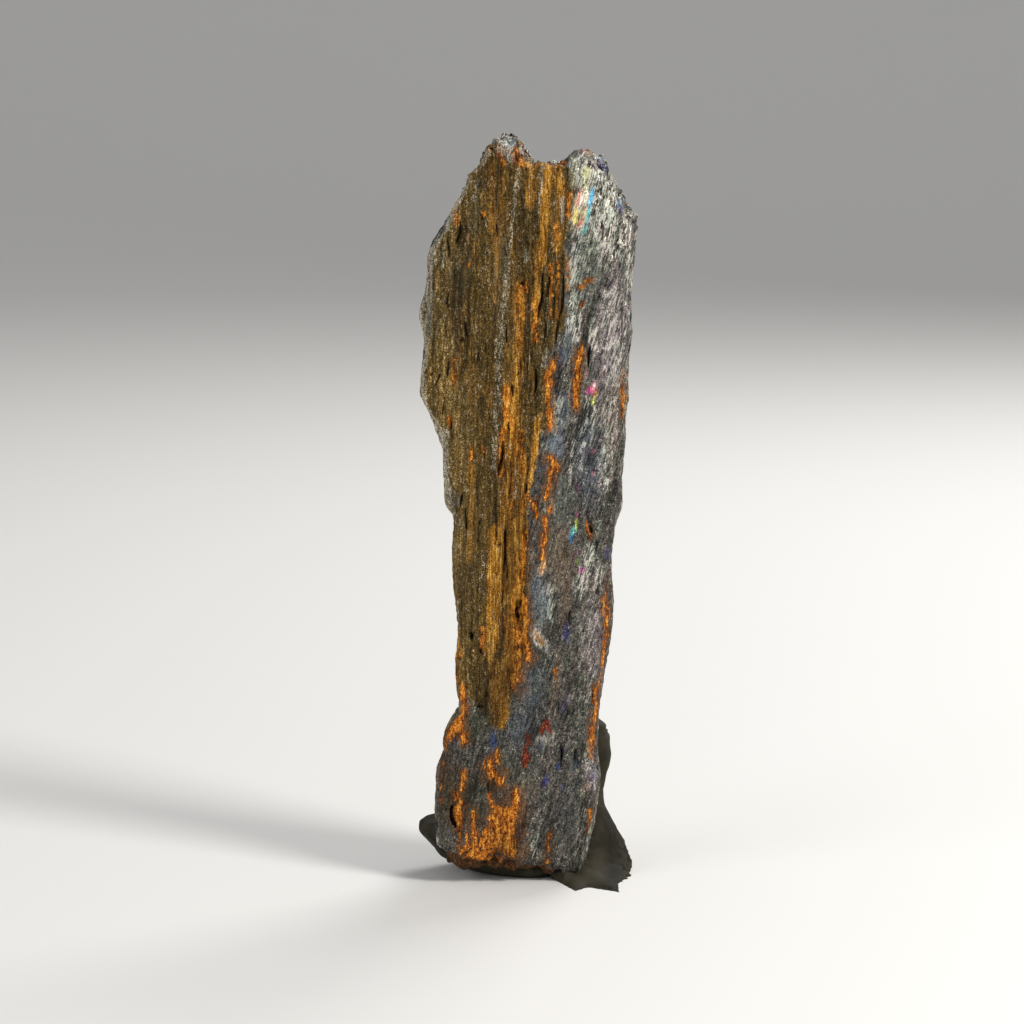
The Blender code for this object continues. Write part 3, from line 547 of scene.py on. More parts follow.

# Thin colour films on the front, one of them a painted highlight on the peak: x, height, half width, half
# height, lean, strength, colour
glazes = [
    (7.9, 103, 1.2, 2.58, 0.3, 1, (240, 222, 176)),
    (7.5, 103.9, 0.33, 1.06, 0.25, 0.95, (226, 128, 118)),
    (7.9, 103.2, 0.51, 1.36, 0.28, 1, (250, 236, 218)),
    (7.2, 101.7, 0.45, 0.91, 0.2, 1, (240, 218, 120)),
    (8.5, 104.8, 0.36, 0.91, 0.3, 0.9, (250, 240, 220)),
    (7.8, 99.8, 0.39, 0.76, 0.1, 0.8, (236, 220, 200)),
    (7.8, 105.3, 0.39, 0.39, 0, 0.8, (206, 120, 120)),
    (7.9, 100.7, 0.27, 0.61, 0.2, 0.95, (206, 96, 50)),
    (9.4, 104.4, 0.36, 1.36, 0.12, 1, (84, 190, 236)),
    (9, 101.8, 0.27, 1.21, 0.3, 0.9, (96, 204, 214)),
    (8.5, 99.7, 0.27, 0.91, 0.3, 0.8, (120, 200, 190)),
    (8.8, 105.7, 0.3, 0.61, 0.2, 0.7, (236, 240, 210)),
    (7.6, 100.1, 0.18, 0.36, 0, 0.8, (214, 70, 60)),
    (7.2, 102.4, 0.21, 0.76, 0.2, 0.7, (226, 208, 110)),
    (8.7, 108.2, 0.67, 0.91, 0.1, 0.6, (186, 192, 110)),
    (8.2, 106.4, 0.45, 0.61, 0.1, 0.55, (178, 190, 128)),
    (10.8, 110.6, 0.75, 0.45, 0, 0.5, (170, 186, 200)),
    (13.8, 103.8, 0.48, 0.76, 0.1, 0.85, (72, 128, 186)),
    (13.7, 102.6, 0.45, 0.45, 0, 0.7, (78, 60, 108)),
    (11.4, 109.1, 0.63, 0.82, -0.2, 1, (24, 20, 84)),
    (10.7, 109.8, 0.36, 0.45, 0, 0.6, (110, 60, 130)),
    (8.2, 111.8, 0.75, 0.36, 0, 0.5, (170, 120, 130)),
    (5.7, 89.7, 0.45, 0.91, 0, 0.4, (80, 120, 130)),
    (9.8, 75.8, 0.48, 0.76, 0.1, 0.95, (232, 120, 150)),
    (10, 76.1, 0.24, 0.45, 0, 0.8, (250, 236, 220)),
    (10.2, 74.8, 0.36, 0.61, 0.1, 0.95, (238, 166, 86)),
    (9.8, 73.8, 0.33, 0.61, 0.1, 0.9, (206, 214, 110)),
    (9, 75.4, 0.27, 0.45, 0, 0.7, (212, 76, 150)),
    (8.8, 77.7, 0.36, 0.61, 0, 0.5, (206, 150, 150)),
    (6.6, 53, 0.36, 0.68, 0, 0.95, (40, 128, 176)),
    (6.9, 54.2, 0.3, 0.76, 0.1, 0.95, (128, 206, 200)),
    (7.3, 55.4, 0.24, 0.91, 0.1, 0.85, (190, 206, 90)),
    (7.5, 56.7, 0.21, 0.45, 0, 0.6, (190, 70, 140)),
    (8.1, 48.2, 0.39, 0.45, 0.3, 0.9, (222, 110, 180)),
    (7.6, 49.4, 0.3, 0.45, 0, 0.6, (140, 170, 80)),
    (7.2, 50.3, 0.45, 0.76, 0, 0.5, (96, 60, 80)),
    (9.8, 66.1, 0.39, 0.45, 0, 0.7, (206, 100, 130)),
    (9.9, 63, 0.27, 0.61, 0, 0.6, (170, 60, 80)),
    (7.5, 60.6, 0.36, 0.61, 0, 0.6, (110, 50, 90)),
    (12, 50.6, 0.36, 0.91, 0, 0.4, (90, 90, 150)),
    (5.8, 38.8, 0.6, 1.51, 0.05, 0.85, (46, 48, 92)),
    (1.3, 45.8, 0.9, 1.21, 0, 0.25, (60, 74, 96)),
    (5.1, 80.3, 0.54, 1.51, 0.15, 0.7, (50, 60, 88)),
    (4.2, 67, 1.2, 2.42, 0, 0.5, (112, 126, 140)),
    (2.5, 63.9, 0.45, 1.21, 0.1, 0.5, (62, 80, 98)),
    (2.7, 61.5, 0.45, 1.51, 0, 0.4, (80, 98, 110)),
    (4.2, 76.4, 0.45, 2.42, 0, 0.3, (100, 100, 116)),
    (5.2, 72.1, 0.9, 2.73, 0.1, 0.4, (124, 134, 142)),
    (-5.2, 21.8, 0.45, 1.67, -0.1, 0.75, (52, 78, 116)),
    (2.7, 16.1, 0.39, 0.83, 0.2, 0.75, (44, 46, 120)),
    (2.2, 15.3, 0.36, 0.61, 0, 0.5, (50, 46, 100)),
    (4.5, 18, 0.36, 0.45, 0, 0.65, (44, 50, 118)),
    (5, 14.8, 0.3, 0.45, 0, 0.65, (44, 46, 108)),
    (5.4, 20.5, 0.6, 0.45, 0, 0.4, (80, 76, 120)),
    (7.2, 18.5, 0.45, 1.36, 0, 0.6, (36, 70, 82)),
    (1.8, 21.2, 0.45, 0.91, 0.2, 0.4, (90, 90, 130)),
    (-11.4, 21.8, 0.6, 0.76, 0, 0.5, (50, 46, 78)),
    (9.6, 17, 0.9, 2.42, 0, 0.35, (138, 124, 132)),
    (9, 14.8, 0.75, 0.61, 0, 0.4, (164, 130, 116)),
    (10, 16.7, 0.3, 1.21, 0, 0.3, (120, 120, 160)),
    # Painted highlight on the pale crystals at the centre of the peak
    (-2.5, 113, 0.67, 0.91, 0, 0.9, (206, 218, 216)),
    (-3.8, 113.8, 0.45, 0.45, 0, 0.6, (180, 180, 172)),
    (6.9, 108.8, 0.6, 2.73, 0, 0.6, (176, 178, 152)),
    (8.1, 110.6, 1.35, 0.91, 0, 0.6, (196, 194, 184)),
    (-4.3, 111.5, 0.6, 0.76, 0, 0.5, (150, 120, 110)),
    (5.4, 27.3, 0.45, 1.21, 0.3, 0.4, (110, 100, 150)),
    (6.3, 28.5, 0.3, 0.91, 0.4, 0.5, (210, 190, 190)),
    (1.6, 37.7, 0.9, 1.67, -0.5, 1, (214, 210, 196)),
    (2.7, 36.4, 0.51, 0.61, -0.3, 0.95, (200, 206, 200)),
    (1.8, 37.6, 0.57, 1.21, -0.5, 1, (158, 110, 50)),
    (2.2, 48.8, 0.51, 1.21, 0.25, 0.9, (226, 178, 128)),
    (2.4, 50.3, 0.24, 0.91, 0, 0.5, (200, 150, 110)),
    (4.8, 50.3, 1.8, 4.54, 0, 0.34, (136, 112, 84)),
    (5.7, 43.6, 0.75, 3.94, 0.1, 0.35, (134, 112, 88)),
    (4.2, 31.5, 0.45, 3.94, 0.12, 0.4, (124, 94, 72)),
    (1.8, 43.6, 1.5, 3.64, 0, 0.4, (122, 133, 142)),
    (0.9, 30, 1.5, 4.54, 0.1, 0.45, (84, 94, 102)),
    (-1.2, 23.9, 1.65, 2.42, 0.1, 0.5, (76, 86, 96)),
    (9.9, 37.6, 1.5, 6.06, 0, 0.35, (140, 122, 128)),
    (9.3, 64.8, 2.1, 6.06, 0, 0.25, (112, 122, 142)),
    (12.6, 84.5, 2.4, 9.09, 0.1, 0.35, (168, 156, 158)),
    (8.4, 93.6, 2.4, 6.06, 0.2, 0.35, (136, 146, 132)),
    (6.3, 83, 0.9, 3.03, 0.1, 0.3, (136, 150, 150)),
    (4.8, 58.8, 1.8, 3.94, 0, 0.35, (104, 112, 102)),
    (12.6, 70.9, 1.5, 6.06, 0, 0.3, (128, 112, 100)),
    (2.1, 22.1, 1.2, 0.61, 0, 0.55, (158, 154, 142)),
    (3.6, 23.3, 0.36, 0.91, -0.3, 0.6, (180, 170, 160)),
    (1.5, 25.8, 0.21, 0.91, 0, 0.5, (186, 186, 186)),
    (-1.2, 17.9, 2.7, 2.12, 0, 0.45, (62, 64, 56)),
    (-7.9, 13.3, 2.4, 4.54, 0, 0.7, (58, 56, 42)),
    (-12, 14.8, 1.65, 5.15, 0, 0.7, (66, 52, 32)),
    (-13.2, 10.3, 1.2, 4.54, 0, 0.6, (66, 58, 44)),
    (-7.5, 24.5, 2.1, 2.42, 0.2, 0.6, (62, 64, 48)),
    (0, 14.8, 1.8, 1.51, 0, 0.4, (104, 90, 70)),
    (6, 10.3, 1.5, 4.54, 0, 0.35, (74, 72, 74)),
    (-9.9, 93.6, 1.5, 3.94, 0, 0.45, (70, 68, 50)),
    (-8.1, 102.1, 1.2, 3.33, 0, 0.35, (74, 72, 52)),
    (-14.7, 84.5, 1.2, 4.54, 0, 0.3, (84, 80, 60)),
    (-4.2, 94.8, 0.75, 6.06, 0.06, 0.35, (96, 96, 76)),
    (-10.2, 70.9, 2.1, 6.06, 0, 0.25, (92, 74, 42)),
    (-11.1, 58.8, 0.67, 1.36, 0, 0.6, (66, 64, 66)),
    (-8.1, 55.8, 2.1, 5.15, 0, 0.35, (72, 56, 32)),
    (-9.6, 45.1, 1.2, 6.06, 0, 0.3, (76, 60, 40)),
]


def copyOfStone():
    piece = copyOfNode("hematite", "hematite_stone")
    scalePiece(piece, (1.0, 1.0, stone["squeeze"]))
    applyModifier(piece, "REMESH", mode="VOXEL", voxel_size=stone["voxel"])
    scalePiece(piece, (1.0, 1.0, 1.0 / stone["squeeze"]))
    applyModifier(piece, "SMOOTH", factor=0.5, iterations=stone["smoothing"])
    return piece


def topFit(points):
    # Each point's depth below the fitted top, and the top's lift there
    places, tops, lifts = zip(*stone["topFit"])
    x = points[:, 0]
    return np.interp(x, places, tops) - points[:, 2], np.interp(x, places, lifts)


def fitOutline(points):
    x, z = points[:, 0], points[:, 2]
    depth, lift = topFit(points)
    lift *= smoothStep(9.0, 1.5, depth)
    rightShift = lineX(stone["rightFit"], z) * smoothStep(3.0, 9.0, x)
    leftShift = lineX(stone["leftFit"], z) * smoothStep(3.0, 9.0, -x)
    points[:, 2] += lift
    points[:, 0] += rightShift + leftShift


def seenHeight(points):
    # Height on the front plane where the camera, which looks down a little, sees each point
    return points[:, 2] + stone["sightSlope"] * (points[:, 1] - stone["frontPlane"])


def raggedPlace(points, across, along):
    # Place of each point with the drawn strokes' edges broken up
    x = points[:, 0] + across * noiseAt(points, (1.2, 1.2, 4.0), 3.0)
    x += 0.8 * across * noiseAt(points, (0.45, 0.45, 1.0), 7.0)
    z = seenHeight(points) + along * noiseAt(points, (0.6, 0.6, 2.6), 11.0)
    return x, z


def aboveLine(line, x, z):
    places, heights = zip(*line)
    return z - np.interp(x, places, heights)


def stoneFields(points, normals):
    x, z = raggedPlace(points, *stone["edgeRag"])
    height = points[:, 2]
    front = smoothStep(0.05, 0.45, -normals[:, 1])
    flank = smoothStep(0.3, 0.7, np.abs(normals[:, 0]))
    back = (1.0 - front) * (1.0 - flank)
    wide = noiseAt(points, (stone["skinWander"], stone["skinWander"], 26.0), 21.0)
    abovePlate = aboveLine(stone["plateTop"], x, height)
    broken = smoothStep(-0.1, 0.2, abovePlate)
    fields = {"front": front, "step": broken * front}
    # The limonite skin ends at a ragged line with a tongue at its foot
    rightOf = lineX(stone["skinRight"], z)
    leftOf = lineX(stone["skinLeft"], z)
    above = 30.0 * smoothStep(30.5, 31.5, z)
    skinFront = np.minimum(rightOf - x, x - leftOf + above)
    skinFlank = 1.4 * wide - 0.5
    skinBack = 0.15 + 1.8 * wide
    skin = front * skinFront + (1.0 - front) * (flank * skinFlank + (1.0 - flank) * skinBack)
    fields["skin"] = np.clip(skin, -1.0, 1.0) * (1.0 - broken) - broken
    # Painted highlight along the top edge of the front plate
    plateRimHighlight = np.exp(-(abovePlate / 0.4) ** 2) * front
    # Pale band on the upper flanks: partly grey hematite, partly painted highlight
    edgeGreyAndHighlight = smoothStep(0.45, 0.9, np.abs(normals[:, 0])) * smoothStep(52.0, 60.0, height)
    rustBack = 0.75 * smoothStep(0.15, 0.45, noiseAt(points, (2.2, 1.0, 9.0), 31.0))
    fields["rust"] = front * strokes(x, z, rustStrokes) + back * rustBack * (1.0 - broken)
    edgeOn = smoothStep(0.6, 0.95, np.abs(normals[:, 0]))
    fields["rust"] = np.maximum(fields["rust"], stone["flankRust"] * flankStrips(points) * edgeOn)
    stain = strokes(x, z, rustStrokes, stone["stainSpread"])
    fields["stain"] = np.maximum(front * stain, 0.6 * fields["rust"])
    redBack = 0.45 * smoothStep(0.2, 0.5, noiseAt(points, (2.0, 0.8, 8.0), 37.0))
    fields["red"] = front * strokes(x, z, redStrokes) + back * redBack
    goldBack = smoothStep(-0.1, 0.5, noiseAt(points, (2.4, 2.4, 24.0), 41.0))
    fields["gold"] = front * strokes(x, z, goldStrokes) + (1.0 - front) * goldBack
    fields["seam"] = np.maximum(front * strokes(x, z, seamStrokes), 0.9 * np.maximum(plateRimHighlight, edgeGreyAndHighlight))
    # Painted shine: drawn highlights on the front, a random level on the hidden sides, and a painted
    # highlight over the broken top
    paintedShineBack = stone["backShine"] + 0.5 * noiseAt(points, (3.0, 3.0, 14.0), 45.0)
    fields["shine"] = front * strokes(x, z, paintedShineStrokes) + (1.0 - front) * paintedShineBack
    fields["shine"] = np.maximum(fields["shine"], 0.75 * broken)
    fields["silky"] = smoothStep(48.0, 84.0, height)
    # The dark strip at the foot: partly rust-brown, partly painted shade on the edge that faces down
    fields["strip"] = smoothStep(-0.25, 0.25, -aboveLine(stone["stripTop"], x, height))
    # Painted shade in slits along the fibres, drawn and random; the relief also cuts them in
    slitX = points[:, 0] + 0.14 * noiseAt(points, (0.8, 0.8, 2.4), 51.0)
    drawn = slits(slitX, seenHeight(points), crackShadeStrokes)
    natural = noiseAt(points, stone["slitPitch"], 55.0)
    natural -= 0.10 * (1.0 - fields["gold"]) + 0.1 * (fields["skin"] < 0.0)
    natural += 0.12 * noiseAt(points, (0.5, 0.5, 1.1), 57.0)
    natural = 0.7 * smoothStep(stone["slitFrom"], stone["slitFrom"] + 0.16, natural)
    fields["dark"] = np.maximum(front * drawn, natural)
    return fields


def flankStrips(points):
    # Layers of rust that show edge-on along both flanks
    x, z = points[:, 0], points[:, 2]
    total = np.zeros(len(points))
    layered = smoothStep(-0.15, 0.25, noiseAt(points, (6.0, 1.0, 40.0), 35.0))
    for side, low, high in stone["layeredSpans"]:
        outside = smoothStep(7.0, 10.0, side * x)
        span = smoothStep(low, low + 3.0, z) * smoothStep(high + 3.0, high, z)
        total = np.maximum(total, outside * span * layered)
    return total


def glazeColours(points, front):
    colours = np.zeros((len(points), 3))
    shares = np.zeros(len(points))
    x, z = raggedPlace(points, *stone["filmRag"])
    for middleX, middleZ, halfWidth, halfHeight, lean, strength, colour in glazes:
        leaned = x - middleX - lean * (z - middleZ)
        away = (leaned / halfWidth) ** 2 + ((z - middleZ) / halfHeight) ** 2
        share = strength * np.exp(-away * away * 0.7) * front
        colours += (np.array(shade(*colour)) - colours) * share[:, None]
        shares += (1.0 - shares) * share
    return colours / np.maximum(shares, 0.02)[:, None], shares


def relief(name, points, seed):
    rise, pitch = stone[name]
    return rise * noiseAt(points, pitch, seed)


def ribs(name, points, seed):
    # Sharp grooves between rounded ribs
    rise, pitch = stone[name]
    return rise * (np.abs(noiseAt(points, pitch, seed)) * 2.0 - 0.5)


def steps(name, points, count, seed):
    rise, pitch = stone[name]
    return rise * terraces(count * noiseAt(points, pitch, seed))


def stoneRelief(points, normals, fields):
    skin = smoothStep(-0.1, 0.1, fields["skin"])
    endFace = smoothStep(0.35, 0.8, np.abs(normals[:, 2]))
    flank = smoothStep(0.35, 0.8, np.abs(normals[:, 0]))
    leaned = points.copy()
    leaned[:, 0] -= stone["lean"] * points[:, 2]
    fibres = ribs("fibre", points, 61.0) + ribs("fineFibre", points, 65.0)
    fibres += steps("ledge", points, 3.0, 67.0)
    flakes = (0.5 + 0.5 * fields["silky"]) * ribs("flake", leaned, 71.0)
    flakes += relief("smallFlake", leaned, 75.0) + steps("blade", leaned, 3.5, 77.0)
    rise = skin * fibres + (1.0 - skin) * flakes
    rise = rise * (1.0 - 0.6 * flank) + ribs("layer", points, 81.0) * flank
    rise += relief("splinter", points, 85.0) * endFace
    rise += relief("grain", points, 91.0)
    rise += relief("rustGrain", points, 95.0) * fields["rust"]
    rise -= stone["crackDepth"] * fields["dark"]
    crest = smoothStep(6.0, 0.5, topFit(points)[0])
    rise += relief("crest", points, 99.0) * crest
    return rise


def makeStone():
    piece = copyOfStone()
    points = pointsOf(piece)
    fitOutline(points)
    movePoints(piece, points)
    normals = normalsOf(piece)
    fields = stoneFields(points, normals)
    rise = stoneRelief(points, normals, fields)
    points += normals * rise[:, None]
    points[:, 1] += stone["topStep"] * fields["step"]
    movePoints(piece, points)
    # The relief's depth, kept for painted shade in the hollows
    fields["hollow"] = rise
    for name, values in fields.items():
        if name not in ("front", "step"):
            writeField(piece, name, values)
    top = smoothStep(103.0, 106.0, points[:, 2]) * smoothStep(6.0, 2.0, points[:, 1])
    colours, shares = glazeColours(points, np.maximum(fields["front"], top))
    writeColours(piece, "glaze", colours)
    writeField(piece, "glazeShare", shares)
    reportTriangles("stone", piece)
    return piece


stoneFinish = {
    # Each ramp runs from the darkest to the brightest grains: tone and screen colour
    "olive": [(0.0, (28, 21, 8)), (0.45, (82, 65, 31)), (0.8, (122, 98, 50)), (1.0, (192, 172, 120))],
    "gold": [(0.0, (52, 28, 6)), (0.45, (144, 93, 25)), (0.8, (198, 138, 42)), (1.0, (230, 188, 94))],
    # This ramp paints the grey seams and also the highlight along the plate top and upper flanks
    "seam": [(0.0, (50, 45, 34)), (0.5, (124, 114, 90)), (1.0, (224, 218, 198))],
    "steel": [(0.0, (24, 25, 26)), (0.3, (80, 80, 77)), (0.6, (140, 139, 130)), (1.0, (252, 251, 241))],
    "rust": [
        (0.0, (32, 14, 6)), (0.3, (98, 48, 14)), (0.6, (170, 90, 20)), (0.85, (214, 130, 34)),
        (1.0, (238, 178, 80)),
    ],
    "red": [(0.0, (28, 11, 9)), (0.6, (112, 38, 20)), (1.0, (184, 92, 50))],
    "strip": [(0.0, (16, 11, 8)), (0.5, (74, 50, 28)), (1.0, (158, 98, 44))],
    "mossGrey": shade(176, 183, 170),
    "roseGrey": shade(202, 188, 184),
    # Painted shade for slits, fine cracks and hollows
    "slit": shade(17, 11, 7),
    "grain": (0.12, 0.12, 0.14),  # sizes of the single grains, flakes and crumbs
    "flake": (0.2, 0.2, 0.42),
    "crumb": (0.24, 0.24, 0.34),
    "metal": 0.6,
    "dullest": 0.85,  # roughness of skin and rust
    "specular": 0.12,
    "bumpDepth": 0.00016,
    "flakeTilt": 0.35,
}


def stoneMaterial():
    g = Graph("fibrous hematite")
    place = g.places()
    split = g.split(place)
    leanX = split["X"] - split["Z"] * stone["lean"]
    leaned = g.node("ShaderNodeCombineXYZ", {}, {0: leanX, 1: split["Y"], 2: split["Z"]})["Vector"]
    # Single grains, flakes and crumbs, each with random numbers of its own
    grain = g.cells(place, stoneFinish["grain"])
    grainA = g.part(grain, "Red") - 0.5
    grainB = g.part(grain, "Green") - 0.5
    flake = g.cells(leaned, stoneFinish["flake"])
    flakeA = g.part(flake, "Red")
    flakeB = g.part(flake, "Green")
    crumb = g.cells(place, stoneFinish["crumb"])
    crumbA = g.part(crumb, "Red") - 0.5
    crumbB = g.part(crumb, "Green") - 0.5
    # Noise along the fibres, and along the leaning blades
    fine = g.ripple(place, (0.35, 0.35, 0.9), 3.0)
    feather = g.ripple(place, (0.32, 0.32, 2.2))
    streak = g.ripple(place, (0.38, 0.38, 7.0))
    strand = g.ripple(place, (0.2, 0.2, 6.0), 1.0)
    band = g.ripple(place, (1.3, 1.3, 18.0))
    clump = g.ripple(place, (0.7, 0.7, 1.2))
    hairs = g.ripple(place, (0.9, 0.9, 9.0), 3.0)
    hue = g.noise(place, (1.4, 1.4, 4.0), 3.0)
    blade = g.ripple(leaned, (0.24, 0.24, 1.8))
    blotch = g.ripple(leaned, (0.5, 0.5, 1.5))
    veins = g.ripple(leaned, (0.75, 0.75, 2.2), 3.0)
    sheaf = g.ripple(leaned, (1.1, 1.1, 6.0))

    def tones(name, tone):
        stops = [(stop, shade(*colour)) for stop, colour in stoneFinish[name]]
        return g.node("ShaderNodeValToRGB", {"stops": stops}, {"Fac": tone})["Color"]

    # Limonite skin: olive to gold, with grey seams, a painted highlight along the plate's top edge and the
    # upper flanks, and painted shade in fine cracks between the fibres
    gold = g.field("gold")
    skinTone = 0.43 + gold * 0.18 + grainA * 0.66 + streak * 0.7 + strand * (0.4 + gold * 1.1) + fine * 0.5
    # Painted glints: a few random grains of the skin made lighter
    skinTone = skinTone + grainB.step(0.38, 0.48) * 0.22
    # Painted light: the skin is lighter towards the left edge and a little darker elsewhere, for light on
    # the left side
    skinTone = skinTone + (0.12 - split["X"].step(-12.0, -7.0) * 0.2) * (1 - gold)
    goldShare = (gold * 1.3 + 0.03 + streak * 1.1 + band + fine * 0.4 + grainB * 0.2).clamp()
    skinColour = g.mix(goldShare, tones("olive", skinTone), tones("gold", skinTone))
    seamAndEdgeHighlightShare = (g.field("seam") + fine * 2.0 + clump * 0.8 + grainB * 1.1).step(0.35, 1.1)
    skinColour = g.mix(seamAndEdgeHighlightShare * 0.85, skinColour, tones("seam", skinTone + 0.2))
    # Painted shade in fine cracks between the fibres
    hairCrackShade = (1.0 - hairs.maths("ABSOLUTE") * 26.0).clamp() * (0.4 + gold * 0.26)
    skinColour = g.mix(hairCrackShade * (streak * 3.0 + 0.5).clamp(), skinColour, stoneFinish["slit"])
    # Bare steel face: overlapping blades that lean to the right
    # The steel is brighter, livelier and more veined where the shine is painted
    shine = g.field("shine")
    silky = g.field("silky")
    lively = (0.7 + silky * 0.3) * (0.75 + shine * 0.6)
    crisp = (0.5 + blade * 5.0).clamp()
    steelTone = 0.26 + shine * (0.12 + crisp * 0.36)
    steelTone = steelTone + lively * (blade * 1.2 + blotch * 0.9 + sheaf * 0.5 + clump * 0.7)
    steelTone = steelTone + grainA * 0.44 + crumbA * 0.2
    # Painted glints: random grains of the steel made bright, more so where the shine is painted
    paintedGlint = grainB.step(0.40, 0.49) * (0.5 + shine * 0.4 + sheaf * 2.0 + clump * 2.0).clamp()
    steelTone = steelTone + paintedGlint * 0.45
    vein = (1.0 - veins.maths("ABSOLUTE") * 16.0).clamp()
    steelTone = steelTone + vein * (shine * 0.32 + silky * 0.10)
    tint = g.mix(hue.step(0.38, 0.62), stoneFinish["mossGrey"], stoneFinish["roseGrey"])
    steel = g.mix(0.7, tones("steel", steelTone + 0.07), tint, "MULTIPLY")
    steel = g.mix(0.14, steel, grain, "OVERLAY")
    skinMask = (g.field("skin") + fine * 1.2 + feather * 0.8 + grainA * 0.3).step(-0.12, 0.12)
    colour = g.mix(skinMask, steel, skinColour)
    # Iridescent and dull films and a painted highlight on the peak, broken up by the grains and flakes
    glazeTone = 0.68 + grainA * 1.1 + flakeB * 0.6 + blade * 1.6 + blotch
    glazed = g.scaled(g.field("glaze", "Color"), glazeTone)
    glazeShare = (g.field("glazeShare") * (1.05 + feather * 1.4 + fine * 1.4)).clamp()
    glazeShare = (glazeShare * (0.45 + flakeA.step(0.1, 0.6) * 0.65 + blade)).clamp()
    colour = g.mix(glazeShare, colour, glazed)
    # Rust in and beside the cracks
    rust = g.field("rust")
    stainShare = (g.field("stain") + clump * 1.2 + fine).step(0.15, 1.05) * 0.7
    colour = g.mix(stainShare * (1 - skinMask * 0.75), colour, tones("strip", 0.62 + grainB * 0.6 + fine))
    loose = feather * 1.6 + fine * 1.4 + clump * 1.4 + crumbA * 0.3 + grainA * 0.7
    rustMask = (rust * 1.5 + (rust * 3.0).clamp() * loose * 0.9).step(0.16, 0.8)
    rustTone = 0.28 + rust * 0.4 + clump + crumbB * 0.36 + grainB * 0.6 + fine * 1.2 + strand * 0.9
    ochreShare = (skinMask * 0.15 + gold * 0.34).clamp()
    rustColour = g.mix(ochreShare, tones("rust", rustTone), tones("gold", rustTone + 0.05))
    colour = g.mix(rustMask * 0.9, colour, rustColour)
    red = g.field("red")
    redMask = (red * 1.2 + (red * 3.0).clamp() * (fine * 1.2 + grainA * 0.5)).step(0.25, 0.6)
    colour = g.mix(redMask * 0.92, colour, tones("red", 0.42 + grainB + fine * 1.6))
    # The dark strip at the foot, partly rust-brown and partly painted shade; painted shade in the slits and
    # the hollows
    stripMask = (g.field("strip") + fine * 0.8).step(0.35, 0.65)
    colour = g.mix(stripMask * 0.92, colour, tones("strip", 0.45 + grainB * 0.5 + fine * 1.4))
    crackShadeMask = (g.field("dark") * 1.1 + fine * 0.9).step(0.35, 0.75)
    colour = g.mix(crackShadeMask * 0.9, colour, stoneFinish["slit"])
    # Painted shade: the hollows of the relief are darkened
    cavityShade = (g.field("hollow") * -2.2 - 0.15).clamp()
    colour = g.mix(cavityShade * 0.6, colour, stoneFinish["slit"])
    g.surface("Base Color", colour)
    bare = (1 - skinMask) * (1 - rustMask) * (1 - redMask) * (1 - crackShadeMask) * (1 - stripMask)
    g.surface("Metallic", bare * stoneFinish["metal"] * (0.6 + flakeB * 0.4))
    g.surface("Roughness", stoneFinish["dullest"] - bare * (0.28 + flakeB * 0.22))
    g.surface("Specular IOR Level", stoneFinish["specular"])
    height = fine * 0.6 + strand * 0.5 * skinMask + grainA * 0.08 + (blade * 0.7 + blotch * 0.6) * bare
    bump = g.bump(height, 1.0, stoneFinish["bumpDepth"])
    # Each flake leans its own way
    tilt = g.scaled(g.vector("SUBTRACT", flake, (0.5, 0.5, 0.5)), bare * stoneFinish["flakeTilt"])
    g.surface("Normal", g.vector("NORMALIZE", g.vector("ADD", bump, tilt)))
    return g.material


stonePiece = makeStone()
finishPiece(stonePiece, "root", "hematite", stoneMaterial())
print("stage: stone finished")


# The putty

putty = {
    "voxel": 0.32,
    "smoothing": 6,
    "press": 1.2,  # putty this near the stone is drawn against it
    "sink": 0.15,
    "lumpPitch": 3.5,
    "lumpRise": 0.22,
    "creasePitch": 2.2,
    "creaseRise": 0.10,
    "creases": [(11.4, 21.9, -0.1), (11.6, 21.2, 0.1), (11.2, 24.0, 0.3)],  # x, height, slope
    "creaseDepth": 0.28,
    "tear": 0.55,  # ragged lip of the fan on the right
    "tearPitch": 0.9,
    "lowFront": 0.6,  # the wad is this much flatter in front of the stone
    "curl": 0.7,  # the lump on the left bulges and droops by these
    "droop": 0.9,
    "swell": 0.6,  # bulge of the column on the right
}

puttyFinish = {
    "light": shade(62, 58, 47),
    "dark": shade(42, 39, 30),
    # colour of the painted shadow on the fan
    "fan": shade(30, 28, 21),
    "roughness": 0.62,
    "specular": 0.08,
    "bumpDepth": 0.0001,
}


def pressAgainst(points, target):
    # Points near the stone close the gap to it
    tree = bvhtree.BVHTree.FromObject(target, bpy.context.evaluated_depsgraph_get())
    moved = points.copy()
    for index, point in enumerate(points):
        found = tree.find_nearest(Vector(point * mm), putty["press"] * mm)
        if found[0] is None:
            continue
        gap = found[3] / mm
        share = 1.0 - smoothStep(0.5 * putty["press"], putty["press"], gap)
        way = (found[0] / mm - Vector(point)).normalized()
        moved[index] += np.array(way) * (gap + putty["sink"]) * share
    return moved


